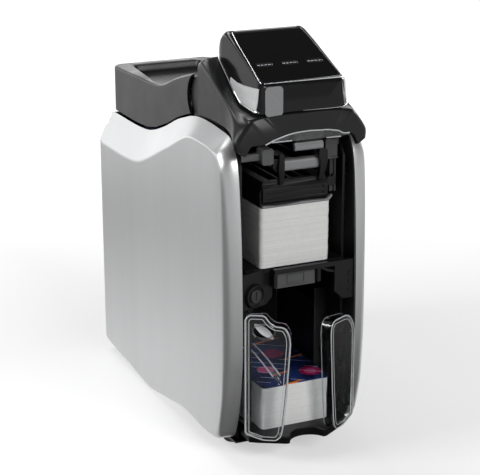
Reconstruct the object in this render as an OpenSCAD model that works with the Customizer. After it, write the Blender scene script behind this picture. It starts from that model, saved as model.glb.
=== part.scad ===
// Desktop ID card printer: a tall narrow body with card hoppers at the front.
// X is the width, Y the depth (front is -Y) and Z the height, with the floor at Z = 0.
// Inside the modules Y is measured from the front plane of the side panels: at_frame()
// moves a piece from there to the shared frame, whose origin is under the middle.

/* [Body] */
// Width over the two silver side panels
body_w = 111.4; // [108:0.1:140]
// Depth from the front plane to the rear
body_l = 258; // [252:1:320]
// Height of the side panels at their front crest
crest_z = 238.5; // [234:0.5:239]
// Height of the side panels along the rear
rear_top_z = 205.5; // [203:0.5:206]
// Wall of the moulded side panels
panel_wall = 2.4; // [1.6:0.1:3]
// Clear width between the two side panels
opening_w = 88.6; // [86:0.2:100]
// Radius of the rear cover's upright corners
cover_corner_r = 9.5; // [5:0.5:14]

/* [Cards] */
// Short edge of a card, which faces the front
card_w = 54; // [50:0.1:60]
// Long edge of a card
card_l = 85.6; // [80:0.1:90]
// Thickness of a card
card_t = 0.76; // [0.25:0.01:1]
// Corner radius of a card
card_r = 3.18; // [2:0.01:4]
// Cards in the input hopper
input_count = 57; // [20:1:58]
// Cards in the output hopper
output_count = 42; // [10:1:60]
// Gap between a card's long edge and the hopper wall
card_side_gap = 1.2; // [0.5:0.1:3]

/* [Hoppers] */
// How far the input stack sits behind the front plane
input_set_back = 9.5; // [6:0.5:16]
// Height at which the cards leave the input hopper
path_z = 142; // [140:0.5:144]
// Wall of the moulded hoppers
hopper_wall = 2.5; // [1.5:0.1:3.5]
// Top of the output tray's floor
tray_z = 21.7; // [20:0.1:24]
// How far the clear guards reach in front of the front plane
guard_reach = 15; // [10:0.5:20]
// Half the finger gap between the two clear guards
guard_gap = 16; // [12:0.5:22]
// Thickness of the clear guards
guard_t = 2; // [1.5:0.1:3]

/* [Lid] */
// Height of the display pod's highest edge
pod_top_z = 300.5; // [296:0.5:306]
// Width of the display pod
pod_w = 63; // [56:1:68]
// Wall of the lid
lid_wall = 2; // [1.6:0.1:2.2]
// Depth at which the lid's hinge pins lie
lid_pivot_d = 74; // [73:0.5:75]
// Height at which the lid's hinge pins lie
lid_pivot_z = 264; // [263:0.5:265]
// Radius of the lid's hinge pins
lid_pin_r = 2.5; // [2:0.1:3]

/* [Rear cover] */
// Wall of the rear cover
cover_wall = 2.2; // [1.8:0.1:3]
// Groove between the rear cover and the side panels
groove = 2; // [1.8:0.1:3]
// Depth of the rear cover's hinge axis
cover_pivot_d = 249; // [248.5:0.1:249.5]
// Height of the rear cover's hinge axis
cover_pivot_z = 215; // [214.5:0.1:216]

/* [Drive] */
// Module of every gear
gear_m = 1; // [1:0.1:1]
// Width of every gear
gear_w = 4; // [3:0.1:5]
// Radius of the roller shafts
shaft_r = 3; // [2.5:0.1:3.5]
// Radial running clearance of shafts and pins
run_gap = 0.05; // [0.02:0.01:0.09]
// Radius of the rubber rollers
roller_r = 7; // [6:0.1:7]
// Thickness of the steel side frames
frame_t = 2; // [1.5:0.1:2.5]

/* [Hidden] */
$fn = 48;
seat_gap = 0.3;            // between pieces that sit beside each other
centre_d = (body_l - guard_reach) / 2;
half_w = body_w / 2;
lip_x = opening_w / 2;     // inner edge of the side panels
frame_out = lip_x - 3.5;
frame_in = frame_out - frame_t;
bay_x = frame_in - seat_gap;   // half width of what sits between the frames
stack_h = input_count * card_t;
output_h = output_count * card_t;
wall_in_x = card_w / 2 + card_side_gap;
roller_z = path_z - seat_gap - roller_r;
pick_d = 75;
feed_d = 118;
platen_d = 155;
gear_teeth = 20;
feed_idler_teeth = 20;
pick_idler_teeth = 26;
pinion_teeth = 12;
gear_x = frame_out + 1;    // inner face of the gears on the right frame
shaft_end = gear_x + gear_w;
pod_x = pod_w / 2;
face_d0 = 1;               // front edge of the sloped display face
face_z0 = 274.3;
face_d1 = 58;
face_slope = atan((pod_top_z - 0.5 - face_z0) / (face_d1 - face_d0));
face_len = (face_d1 - face_d0) / cos(face_slope);
glass_t = 2;
key_w = 12;
key_l = 4.4;
key_s = 21.2;              // keys' place up the sloped face
key_pitch = 19;
key_gap = 0.25;
key_travel = 0.8;
supply_d = 214;
supply_z = 188;
takeup_d = 114;
takeup_z = 188;
head_pivot_d = 196;
head_pivot_z = 160;
head_pin_r = 2;
lock_x = -33.6;
lock_z = 124.6;
lock_turn = 20;            // the lock's face is turned inwards
lock_r = 4.8;
flap_w = 30.4;
flap_pivot_d = 11;
flap_pivot_z = 136.6;
rail_x0 = 29;
rail_x1 = 34;

// ---------------------------------------------------------------- helpers

// Moves a piece from the front-plane depth to the shared frame.
module at_frame() {
    translate([0, -centre_d, 0]) children();
}

// Extrudes a (depth, height) outline from x0 to x1.
module along_x(x0, x1) {
    translate([x0, 0, 0]) rotate([90, 0, 90]) linear_extrude(x1 - x0) children();
}

// Extrudes an (x, height) outline from depth d0 to d1.
module along_d(d0, d1) {
    translate([0, d1, 0]) rotate([90, 0, 0]) linear_extrude(d1 - d0) children();
}

// A cylinder along X.
module rod_x(x0, x1, d, z, r) {
    translate([x0, d, z]) rotate([0, 90, 0]) cylinder(r = r, h = x1 - x0);
}

// A block by its lowest and highest corners.
module block(low, high) {
    translate(low) cube(high - low);
}

// Makes the same piece on the left and on the right.
module both_sides() {
    children();
    mirror([1, 0, 0]) children();
}

// A rectangle with round corners, from its lowest and highest corners.
module round_box(low, high, r) {
    span = high - low;
    translate(low + [r, 0]) square([span[0] - 2 * r, span[1]]);
    translate(low + [0, r]) square([span[0], span[1] - 2 * r]);
    for (x = [low[0] + r, high[0] - r], y = [low[1] + r, high[1] - r])
        translate([x, y]) circle(r = r);
}

function limit(v, low, high) = max(low, min(high, v));

// Rounds a list of points: n steps along each span of a Catmull-Rom curve.
function curve(p, n) = [
    for (i = [0 : len(p) - 2], k = [0 : n - 1])
        let (t = k / n, a = p[max(i - 1, 0)], b = p[i], c = p[i + 1], e = p[min(i + 2, len(p) - 1)])
        0.5 * (2 * b + (c - a) * t + (2 * a - 5 * b + 4 * c - e) * t * t
            + (3 * b - a - 3 * c + e) * t * t * t),
    p[len(p) - 1]];

// Moves each point of a clockwise outline inwards by w.
function inset(p, w) = [
    for (i = [0 : len(p) - 1])
        let (a = p[(i + len(p) - 1) % len(p)], b = p[(i + 1) % len(p)], s = b - a)
        p[i] + w * [s[1], -s[0]] / norm(s)];

// A closed solid through rings of equally many points (an odd number), clockwise seen
// from before ring 0. Both ends are closed by a strip between each ring's two halves.
module loft(rings) {
    n = len(rings[0]);
    last = len(rings) - 1;
    h = (n - 1) / 2;
    polyhedron(
        points = [for (ring = rings, p = ring) p],
        faces = concat(
            [for (k = [0 : last - 1], j = [0 : n - 1]) each let (q = (j + 1) % n, a = k * n, b = a + n)
                [[a + j, b + j, b + q], [a + j, b + q, a + q]]],
            [for (j = [0 : h - 1]) [j, n - 2 - j, n - 1 - j]],
            [for (j = [0 : h - 2]) [j, j + 1, n - 2 - j]],
            [for (j = [0 : h - 1]) [last * n + n - 1 - j, last * n + n - 2 - j, last * n + j]],
            [for (j = [0 : h - 2]) [last * n + n - 2 - j, last * n + j + 1, last * n + j]]),
        convexity = 8);
}

// ---------------------------------------------------------------- side panels

// Each key point holds the outer edge (depth, height) and then the crease (depth, height).
panel_keys = [
    [body_l, 12, body_l - 3, 14],
    [body_l - 3, 8.4, body_l - 6, 11.4],
    [234, 6.3, 232, 9.3],
    [199, 4.2, 198, 7.2],
    [176, 2.2, 176, 5.2],
    [154, 1.2, 154, 4.2],
    [132, 4.6, 132, 7.6],
    [111, 7.8, 111, 10.8],
    [91, 11.3, 91, 14.3],
    [71, 11.5, 71, 14.5],
    [52, 10.4, 53, 13.6],
    [34, 11, 37, 14.6],
    [22, 13.7, 28, 18],
    [13.5, 20, 20, 25],
    [6.5, 42, 13.8, 47],
    [2.9, 64, 13, 66],
    [1, 91, 12.4, 92],
    [2.1, 153, 12.5, 153],
    [4.8, 192, 13, 190],
    [8, 215.5, 14.2, crest_z - 28.7],
    [12.3, crest_z - 12.5, 17, crest_z - 20.7],
    [16.8, crest_z - 6.5, 20.5, crest_z - 15.7],
    [24, crest_z - 2.7, 27, crest_z - 13],
    [35, crest_z - 1.5, 37, crest_z - 11.5],
    [51.7, crest_z - 0.3, 56, crest_z - 11.2],
    [70.6, crest_z, 70, crest_z - 12.5],
    [86.6, crest_z - 2, 86, crest_z - 18.5],
    [99.5, rear_top_z + 27.5, 103, rear_top_z + 6.5],
    [116.5, rear_top_z + 22, 120, rear_top_z - 0.9],
    [140, rear_top_z + 12, 140, rear_top_z - 9.7],
    [162, rear_top_z + 4.5, 163, rear_top_z - 19.1],
    [180, rear_top_z + 1, 178, rear_top_z - 22.5],
    [205, rear_top_z - 0.2, 198, rear_top_z - 24.2],
    [230, rear_top_z - 0.1, 225, rear_top_z - 24.5],
    [body_l, rear_top_z, body_l - 3, rear_top_z - 24.5]];
panel_line = curve(panel_keys, 2);
lean = half_w - lip_x;     // how far the panels' front and top bands lean in

// How much of the way from crease to outer edge the skin has gone at x: a quarter
// round at the front, a straight bevel along the top, a small round elsewhere.
function front_share(x) = sqrt(1 - pow(1 - limit((half_w - x) / lean, 0, 1), 2));
function top_share(x) = limit((half_w - x) / lean, 0, 1);
function foot_share(x) = sqrt(1 - pow(1 - limit((half_w - x) / 3, 0, 1), 2));
function near_front(p) = limit(1 - (p[0] - 10) / (p[1] > 120 ? 14 : 12), 0, 1);
function near_rear(p) = limit((p[0] - body_l + 8) / 6, 0, 1);
function mix(p, x, low, high) = let (f = near_front(p))
    f * front_share(x) + (1 - f) * (p[1] > 120 ? high : low);
function panel_outline(x) = [
    for (p = panel_line)
        let (b = near_rear(p), t = mix(p, x, foot_share(x), top_share(x)),
            s = b * foot_share(x) + (1 - b) * t)
        [p[2] + (p[0] - p[2]) * s, p[3] + (p[1] - p[3]) * t]];
function at_x(x, outline) = [for (p = outline) [x, p[0], p[1]]];

panel_xs = [half_w, half_w - 0.3, half_w - 1.3, half_w - 3, half_w - 5.5, half_w - 8.5, lip_x];
panel_in_xs = [lip_x, half_w - 6, half_w - 3.6, half_w - panel_wall];

module side_panel() {
    loft(concat(
        [for (x = panel_xs) at_x(x, panel_outline(x))],
        [for (x = panel_in_xs)
            at_x(x, inset(panel_outline(min(x + 1.2, half_w - 0.2)), panel_wall))]));
}

module left_side_panel() {
    color("silver") at_frame() mirror([1, 0, 0]) side_panel();
}

module right_side_panel() {
    color("silver") at_frame() side_panel();
}

// ---------------------------------------------------------------- base and rear

floor_z = 12;      // top of the base pan
base_t = 3;
pan_front_d = 14;

module base_pan() {
    color("#202022") at_frame() {
        difference() {
            union() {
                along_x(-lip_x + seat_gap, lip_x - seat_gap) polygon([
                    [pan_front_d, floor_z], [pan_front_d, floor_z - 0.9], [22, 9.9], [34, 9.3],
                    [48, floor_z - base_t], [back_d, floor_z - base_t], [back_d, floor_z]]);
                for (d = [60 : 40 : 220])
                    block([-bay_x + 4, d, floor_z - base_t - 1.5], [bay_x - 4, d + 2, floor_z - base_t]);
                for (x = [-1, 1], d = foot_ds)
                    translate([x * foot_x, d, foot_h]) cylinder(r = foot_r + 2, h = floor_z - base_t - foot_h);
            }
            for (d = [96 : 8 : 200])
                block([-18, d, floor_z - base_t - 4], [18, d + 3, floor_z + 1]);
        }
    }
}

foot_ds = [44, 232];
foot_x = 33;
foot_r = 7;
foot_h = 4;

module rubber_feet() {
    color("#151515") at_frame()
        for (x = [-1, 1], d = foot_ds) translate([x * foot_x, d, 0]) {
            cylinder(r = foot_r - 1, h = 1);
            translate([0, 0, 1]) cylinder(r = foot_r, h = foot_h - 1);
        }
}

back_d = body_l - 2.7;   // inner face of the rear panel
back_t = 2.4;
back_top_z = cover_pivot_z - 11;
port_z = 40;
jack_x = -28;
usb_x = -8;
lan_x = 14;

module rear_panel() {
    color("#242426") at_frame() {
        difference() {
            along_d(back_d, back_d + back_t)
                round_box([-lip_x + seat_gap, floor_z - base_t], [lip_x - seat_gap, back_top_z], 3);
            rod_y(jack_x, port_z, 5.5);
            block([usb_x - 6.2, back_d - 1, port_z - 5.7], [usb_x + 6.2, back_d + 4, port_z + 5.7]);
            block([lan_x - 8.2, back_d - 1, port_z - 7.2], [lan_x + 8.2, back_d + 4, port_z + 7.2]);
            for (z = [70 : 7 : 126])
                along_d(back_d - 1, back_d + 4) round_box([-26, z], [26, z + 3.2], 1.5);
            for (x = [-1, 1], z = screw_zs) rod_y(x * screw_x, z, 1.7);
        }
        for (x = hinge_lug_xs)
            difference() {
                union() {
                    rod_x(x, x + 8, cover_pivot_d, cover_pivot_z, 3);
                    block([x, cover_pivot_d - 3, back_top_z - 6], [x + 8, cover_pivot_d + 1, cover_pivot_z]);
                    block([x, cover_pivot_d - 3, back_top_z - 6], [x + 8, back_d + 0.01, back_top_z - 2]);
                }
                rod_x(x - 1, x + 9, cover_pivot_d, cover_pivot_z, 1.5 + run_gap);
            }
    }
}

screw_x = 35;
screw_zs = [22, 96, 170];
hinge_lug_xs = [-30, 22];

// A cylinder along Y through the rear panel.
module rod_y(x, z, r) {
    translate([x, back_d + 4, z]) rotate([90, 0, 0]) cylinder(r = r, h = 6);
}

module panel_screws() {
    color("#8c8f94") at_frame()
        for (x = [-1, 1], z = screw_zs) translate([x * screw_x, back_d + back_t, z])
            rotate([-90, 0, 0]) difference() {
                union() {
                    cylinder(r = 3, h = 1.4);
                    translate([0, 0, -6]) cylinder(r = 1.5, h = 6);
                }
                for (a = [0, 90]) rotate(a) translate([-1.8, -0.35, 0.7]) cube([3.6, 0.7, 1]);
            }
}

module rear_ports() {
    color("#6d6f73") at_frame() {
        translate([jack_x, back_d + 2, port_z]) rotate([90, 0, 0]) difference() {
            cylinder(r = 5.4, h = 12);
            translate([0, 0, -1]) cylinder(r = 3.2, h = 10);
        }
        translate([jack_x, back_d + 1.5, port_z]) rotate([90, 0, 0]) cylinder(r = 1, h = 9);
        difference() {
            block([usb_x - 6, back_d - 12, port_z - 5.5], [usb_x + 6, back_d + 2, port_z + 5.5]);
            block([usb_x - 4.4, back_d - 8, port_z - 3.9], [usb_x + 4.4, back_d + 3, port_z + 3.9]);
        }
        block([usb_x - 2.8, back_d - 9, port_z - 1.6], [usb_x + 2.8, back_d, port_z + 1.6]);
        difference() {
            block([lan_x - 8, back_d - 14, port_z - 7], [lan_x + 8, back_d + 2, port_z + 7]);
            block([lan_x - 6, back_d - 10, port_z - 4.5], [lan_x + 6, back_d + 3, port_z + 3.5]);
        }
        // the connectors' own board, held by the rear panel
        block([-38, back_d - 13, port_z - 9], [30, back_d, port_z - 7.4]);
        block([jack_x - 5, back_d - 10, port_z - 7.4], [jack_x + 5, back_d, port_z - 5.2]);
    }
}

// ---------------------------------------------------------------- steel frames

// Centre of the round joint line between the lid and the rear cover.
arc_d = 79.7;
arc_z = 250;
beam_r = 17.3;

frame_line = concat(
    [[20, floor_z], [back_d - seat_gap, floor_z], [back_d - seat_gap, 200], [110, 203], [96, 212],
        [91.5, 228]],
    [for (a = [-44 : 11 : 44]) [arc_d + beam_r * cos(a), arc_z + beam_r * sin(a)]],
    [[80, lid_pivot_z + 4], [lid_pivot_d, lid_pivot_z], [67, 262], [61, 250], [50, 240], [38, 236],
        [24, 228], [14, 216], [14, 40], [20, 30]]);
post_spots = [[34, 50], [34, 200], [225, 40], [225, 160]];

// Holes that carry the turning shafts, each as depth, height and radius.
frame_bores = [
    [pick_d, roller_z, shaft_r + run_gap],
    [feed_d, roller_z, shaft_r + run_gap],
    [platen_d, roller_z, shaft_r + run_gap],
    [supply_d, supply_z, shaft_r + run_gap],
    [takeup_d, takeup_z, shaft_r + run_gap]];

module frame_plate() {
    along_x(frame_in, frame_out) difference() {
        union() {
            polygon(frame_line);
            translate([lid_pivot_d, lid_pivot_z]) circle(r = 5.6);
        }
        for (b = frame_bores) translate([b[0], b[1]]) circle(r = b[2]);
        round_at(170, 60, 60, 50);
        round_at(110, 50, 40, 40);
        round_at(58, 60, 28, 60);
        round_at(160, 178, 44, 26);
    }
    // hinge pin of the lid and pivot of the print head
    rod_x(frame_in - 3.2, frame_in, lid_pivot_d, lid_pivot_z, lid_pin_r);
    rod_x(frame_in - 6, frame_in, head_pivot_d, head_pivot_z, head_pin_r);
    // posts that carry the side panel
    for (p = post_spots)
        rod_x(frame_out, half_w - panel_wall - seat_gap, p[0], p[1], 3);
}

// A window with round corners, centred at depth d and height z.
module round_at(d, z, w, h) {
    round_box([d - w / 2, z - h / 2], [d + w / 2, z + h / 2], 4);
}

feed_idler_d = (feed_d + platen_d) / 2;
idler_reach = gear_m * (gear_teeth + feed_idler_teeth) / 2;
feed_idler_z = roller_z - sqrt(pow(idler_reach, 2) - pow((platen_d - feed_d) / 2, 2));
pick_idler_d = (pick_d + feed_d) / 2;
pick_reach = gear_m * (gear_teeth + pick_idler_teeth) / 2;
pick_idler_z = roller_z - sqrt(pow(pick_reach, 2) - pow((feed_d - pick_d) / 2, 2));
motor_z = feed_idler_z - gear_m * (feed_idler_teeth + pinion_teeth) / 2;

module left_frame() {
    color("#8d9196") at_frame() mirror([1, 0, 0]) frame_plate();
}

module right_frame() {
    color("#8d9196") at_frame() {
        difference() {
            frame_plate();
            rod_x(frame_in - 1, frame_out + 0.5, feed_idler_d, motor_z, 5);
        }
        // fixed axles of the two idler gears
        rod_x(frame_out, shaft_end + 0.6, feed_idler_d, feed_idler_z, shaft_r - 0.5);
        rod_x(frame_out, shaft_end + 0.6, pick_idler_d, pick_idler_z, shaft_r - 0.5);
    }
}

// Black cross piece behind the lid, round towards the rear cover.
beam_z0 = 236;
beam_z1 = 262;

module hinge_beam() {
    color("#101011") at_frame() along_x(-bay_x, bay_x) {
        difference() {
            intersection() {
                translate([arc_d, arc_z]) circle(r = beam_r);
                translate([arc_d, beam_z0]) square([30, beam_z1 - beam_z0]);
            }
            intersection() {
                translate([arc_d, arc_z]) circle(r = beam_r - 2.2);
                translate([arc_d + 2, beam_z0 - 1]) square([30, beam_z1 - beam_z0 - 1]);
            }
        }
    }
}

// ---------------------------------------------------------------- input hopper

hopper_d0 = 10;
hopper_d1 = input_set_back + card_l + 3.4;
hopper_top = 206;

module input_hopper() {
    color("#1b1b1d") at_frame() difference() {
        union() {
            block([-bay_x, hopper_d0, path_z - 3.4], [bay_x, hopper_d1 + hopper_wall, path_z]);
            block([-bay_x, hopper_d1, path_z], [bay_x, hopper_d1 + hopper_wall, hopper_top]);
            both_sides() {
                block([wall_in_x, 40, path_z], [wall_in_x + hopper_wall, hopper_d1, hopper_top]);
                block([wall_in_x, 40, 170], [bay_x, 40 + hopper_wall, hopper_top]);
                for (z = [150 : 12 : 162])
                    block([wall_in_x, 60, z], [bay_x, 62, z + 2]);
            }
        }
        block([-30, pick_d - roller_r - 2, path_z - 6], [30, pick_d + roller_r + 2, path_z + 1]);
        block([-wall_in_x, hopper_d1 - 1, path_z - 0.1], [wall_in_x, hopper_d1 + 4, path_z + 1.6]);
        both_sides() along_x(wall_in_x - 1, wall_in_x + 3)
            round_box([56, 168], [86, 196], 6);
        along_d(hopper_d1 - 1, hopper_d1 + 4) round_box([-18, 160], [18, 196], 6);
    }
}

module guide_rail() {
    color("#77797d") at_frame() {
        difference() {
            block([rail_x0, 15, 190], [rail_x1, 39.7, 228]);
            block([rail_x0 + 1.4, 14, 188], [rail_x1 - 1.4, 16.4, 224]);
            block([rail_x0 + 1.2, 19, 189], [rail_x1 + 1, 36, 229]);
        }
        block([rail_x1, 20, 222], [bay_x + 0.3, 38, 228]);
        // head block that closes the slot, with the ledge under it
        block([rail_x0 - 4, 13.8, 215.4], [rail_x1 + 0.4, 17, 228]);
        block([rail_x0 - 4.4, 13, 214.2], [rail_x1 + 0.4, 17, 215.5]);
    }
}

module card_sensor() {
    color("#a5a7a9") at_frame() {
        along_d(12, 22) round_box([-24.5, 215], [-15.6, 226.4], 2);
        block([-bay_x, 16, 218], [-24.4, 20, 223]);
    }
}

module card_outline(w, l, r) {
    round_box([-w / 2, 0], [w / 2, l], r);
}

// A stack of cards: every few cards sit a hair to one side, as dealt by hand.
module card_stack(count, z0) {
    pack = 3;
    for (i = [0 : pack : count - 1]) {
        n = min(pack, count - i);
        shift = 0.25 * sin(i * 73) + 0.15 * sin(i * 31);
        translate([shift, 0.2 * sin(i * 47), z0 + i * card_t])
            linear_extrude(n * card_t) card_outline(card_w, card_l, card_r);
    }
}

module input_cards() {
    color("white") at_frame() translate([0, input_set_back, 0]) card_stack(input_count, path_z);
}

// ---------------------------------------------------------------- card weight

weight_z = path_z + stack_h + seat_gap;

module card_weight() {
    color("#1d1d1f") at_frame() {
        difference() {
            union() {
                along_d(12, 88) polygon([
                    [-26, weight_z], [26, weight_z], [26.5, weight_z + 10], [24, weight_z + 18],
                    [-24, weight_z + 18], [-26.5, weight_z + 10]]);
                along_x(-25, 25) polygon([
                    [9.6, weight_z + 4], [12, weight_z + 2], [12, weight_z + 16], [9.6, weight_z + 13]]);
            }
            for (x = [-18 : 9 : 9])
                block([x, 16, weight_z + 6], [x + 7, 84, weight_z + 20]);
            block([-22, 8, weight_z + 5.5], [22, 10.6, weight_z + 7.5]);
            block([-22, 8, weight_z + 9.5], [22, 10.6, weight_z + 11.5]);
        }
        // runner in the guide rail and the arm that holds it
        block([rail_x0 + 1.7, 13.2, weight_z + 9], [rail_x1 - 1.7, 16.1, weight_z + 17]);
        block([26, 12.2, weight_z + 10], [rail_x1 - 1.7, 13.2, weight_z + 16]);
        along_d(9, 12.4) polygon([[17.4, weight_z + 16], [21, weight_z + 16], [24.4, 214],
            [24.4, 222], [22, 224], [18, 223], [17.6, 219], [19.4, 214]]);
        along_d(9, 12.4) polygon([[-12.6, weight_z + 16], [-9.4, weight_z + 16], [-8.7, 212],
            [-8.9, 221], [-10.4, 223.4], [-12.6, 222], [-13.1, 212]]);
    }
}

module weight_handle() {
    color("#c4c6c8") at_frame() {
        along_x(-12.4, 23.4) difference() {
            round_box([12.6, 209], [20, 217], 2);
            round_box([14, 210.4], [18.6, 215.6], 1);
        }
        // wavy lip along the foot of the weight, with a tab on its right
        along_d(9, 12) polygon(concat(
            [for (x = [-24 : 2 : 24]) [x, weight_z + 1.2 + 0.5 * sin(x * 9) * (1 - x / 60)]],
            [[25.6, weight_z + 2.4], [28.4, weight_z + 4.4], [28.4, weight_z + 2.6], [25.8, weight_z],
                [-25.6, weight_z], [-25.6, weight_z + 1.2]]));
    }
}

// ---------------------------------------------------------------- middle bezel

bezel_x = lip_x - 0.5;
bezel_d0 = 4.5;
bezel_d1 = 8;

// Outline of the plate round the lock, with its lower right corner cut off.
lock_plate = [[-bezel_x, 115.2], [-22.1, 115.2], [-16.5, 119.4], [-16.1, path_z - 0.5],
    [-bezel_x, path_z - 0.5]];

// Plan of the same plate: it is slanted to face the lock inwards.
lock_plate_d = 6 - (lock_x + bezel_x) * tan(lock_turn);
lock_plate_rise = (bezel_x - 16.1) * tan(lock_turn);
lock_plate_plan = [[-bezel_x, lock_plate_d], [-16.1, lock_plate_d + lock_plate_rise],
    [-16.1, lock_plate_d + lock_plate_rise + 2.6], [-bezel_x, lock_plate_d + 2.6]];

module front_bezel() {
    color("#3a3b3d") at_frame() {
        difference() {
            intersection() {
                along_d(0, 20) polygon(lock_plate);
                translate([0, 0, 100]) linear_extrude(50) polygon(lock_plate_plan);
            }
            at_lock() translate([0, 0, -12]) cylinder(r = 8.8, h = 24);
            block([-bay_x - 1, 9.7, path_z - 3.7], [0, 20, path_z]);
            // the flap's pivot pin runs past the plate
            rod_x(-flap_w / 2 - 4, -flap_w / 2, flap_pivot_d, flap_pivot_z - 1.2, 1 + run_gap);
        }
        // strip over the flap and the plate on the right, with its three sight windows
        along_d(bezel_d0, bezel_d1) polygon([[-18.2, path_z - 3.9], [28.9, path_z - 3.9],
            [28.9, 119.2], [35.8, 112.9], [bezel_x, 112.9], [bezel_x, path_z - 0.5],
            [-18.2, path_z - 0.5]]);
        for (z = [117.4, 123.4, 129.8])
            along_d(bezel_d0 - 0.5, bezel_d0 + 0.1) round_box([39.8, z], [42.8, z + 3.2], 0.6);
        // slim stay from the strip down to the plate on the right
        along_d(5.2, bezel_d1) polygon([[19, path_z - 3.6], [29.2, 134.6], [29.2, 133.2],
            [24, 134.4], [17.8, path_z - 4.4]]);
        // cheeks beside the flap, with its pivot holes
        both_sides() difference() {
            union() {
                block([flap_w / 2 + 0.5, 5.4, 128], [flap_w / 2 + 3, 9.7, path_z - 3]);
                block([flap_w / 2 + 0.5, 9.6, 128], [flap_w / 2 + 3, 15, path_z - 3.8]);
            }
            rod_x(flap_w / 2, flap_w / 2 + 4, flap_pivot_d, flap_pivot_z - 1.2, 1 + run_gap);
        }
        // feet that screw to the side frames
        block([-bay_x, 5.6, 113], [4 - bay_x, 18, 115.9]);
        block([bay_x - 4, bezel_d1 - 0.1, 113], [bay_x, 18, 119]);
    }
}

module feed_flap() {
    color("#8f9193") at_frame() {
        along_x(-flap_w / 2, flap_w / 2) polygon([
            [8.3, 126.3], [9.8, 126.3], [10, flap_pivot_z - 3], [12.2, flap_pivot_z - 2.6],
            [12.2, flap_pivot_z + 0.2], [9.8, flap_pivot_z + 0.8], [8.3, flap_pivot_z + 0.4]]);
        rod_x(-flap_w / 2 - 2.4, flap_w / 2 + 2.4, flap_pivot_d, flap_pivot_z - 1.2, 1);
        along_d(7.6, 8.3) difference() {
            round_box([-7, 128.5], [7, 135.5], 1.2);
            round_box([-6.2, 129.3], [6.2, 134.7], 0.8);
        }
    }
}

// Turns a piece so that its +Z axis looks out of the lock's slanted face.
module at_lock() {
    translate([lock_x, 6, lock_z]) rotate([0, 0, lock_turn]) rotate([90, 0, 0]) children();
}

module lock_housing() {
    color("#2c2d2f") at_frame() {
        at_lock() rotate_extrude() polygon([[0, -6], [8.3, -6], [8.3, 2.7], [7.2, 2.7], [7.2, 1.5],
            [lock_r + run_gap, 1.5], [lock_r + run_gap, -4], [0, -4]]);
        block([-bay_x, 10.2, lock_z - 5], [-36, 18, lock_z + 5]);
    }
}

module lock_plug() {
    color("#9b9d9f") at_frame() at_lock() difference() {
        translate([0, 0, -3.7]) cylinder(r = lock_r, h = 6.4);
        translate([-0.7, -3.2, 1.6]) cube([1.4, 6.4, 3]);
    }
}

// ---------------------------------------------------------------- output tray and guards

guard_out_x = 43;
guard_angle = atan((guard_reach + 1) / (guard_out_x - guard_gap));
guard_span = norm([guard_reach + 1, guard_out_x - guard_gap]);

module output_tray() {
    color("#1a1a1c") at_frame() {
        difference() {
            union() {
                linear_extrude(tray_z) polygon([
                    [-bay_x, 22], [-bay_x, 3.4], [-guard_gap, -11.6], [guard_gap, -11.6],
                    [bay_x, 3.4], [bay_x, 22]]);
                block([-bay_x, 21.9, tray_z - 4], [bay_x, 99, tray_z]);
                both_sides() {
                    block([wall_in_x, 34, tray_z], [wall_in_x + hopper_wall, 99, 100]);
                    block([wall_in_x, 34, tray_z], [bay_x, 34 + hopper_wall, 112]);
                }
                block([-bay_x, 99 - hopper_wall, tray_z], [bay_x, 99, 104]);
            }
            // the underside rises towards the front
            along_x(-50, 50) polygon([[-20, -1], [30, -1], [30, floor_z + 3.6], [18, floor_z + 3.6],
                [0, floor_z + 3.2], [-20, floor_z + 4.5]]);
            // thumb scoop in the front lip
            translate([0, -16, 0]) cylinder(r = 14, h = 60);
        }
        // posts that stand the tray on the base pan
        for (x = [-30, 26], d = [36, 86])
            block([x, d, floor_z], [x + 4, d + 4, tray_z - 4]);
    }
}

// Outlines of the two guards as (distance in from the outer edge, height).
left_guard_line = [[0, 24], [13, 19.6], [22.9, 19.6], [26.4, 23.5], [27.6, 30], [30, 55],
    [guard_span + 1.2, 94], [guard_span + 0.4, 100], [29, 105], [26, 106.2], [21.5, 106.4],
    [17.5, 109.4], [15.2, 113], [13, 114.3], [3, 114.3], [0, 111]];
right_guard_line = [[0, 24], [13, 19.6], [22.9, 19.6], [26.4, 23.5], [27.6, 30], [30, 55],
    [guard_span + 1.2, 94], [guard_span + 0.6, 101], [29.6, 104], [27, 105], [12, 104.4],
    [7.6, 102.6], [3.4, 98], [0, 91]];
grip_at = [13.4, 101.6];   // middle of the finger hole
grip_half = [7.4, 5];

// One guard lies in a slanted plane in front of the cards and has a rim behind its
// free edges; tongue_z is the top of the tongue that runs back along the side frame.
module guard(line, tongue_z, holes) {
    translate([-guard_out_x, 1, 0]) rotate([0, 0, -guard_angle]) {
        along_d(-guard_t / 2, guard_t / 2) difference() {
            polygon(line);
            for (p = holes) translate(p) scale(grip_half) circle(r = 1);
        }
        for (p = holes)
            along_d(guard_t / 2, guard_t / 2 + 1.6) translate(p) difference() {
                scale(grip_half + [1.4, 1.4]) circle(r = 1);
                scale(grip_half) circle(r = 1);
            }
        along_d(guard_t / 2, guard_t / 2 + 1.2) difference() {
            polygon(line);
            polygon([for (p = line) [p[0] * 0.86 + 2.2, p[1] * 0.94 + 4]]);
        }
    }
    block([-guard_out_x + 0.4, 2.6, 30], [-frame_out - seat_gap, 24, tongue_z]);
}

module left_guard() {
    color([0.75, 0.8, 0.85, 0.4]) at_frame() guard(left_guard_line, 104, [grip_at]);
}

module right_guard() {
    color([0.75, 0.8, 0.85, 0.4]) at_frame() mirror([1, 0, 0]) guard(right_guard_line, 86, []);
}

module output_cards() {
    color("white") at_frame() translate([0, 6, 0]) card_stack(output_count, tray_z);
}

module printed_card() {
    color("#2b5aa8") at_frame() translate([0.3, 5.4, tray_z + output_h])
        linear_extrude(card_t) card_outline(card_w, card_l, card_r);
}

// ---------------------------------------------------------------- card path and drive

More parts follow.
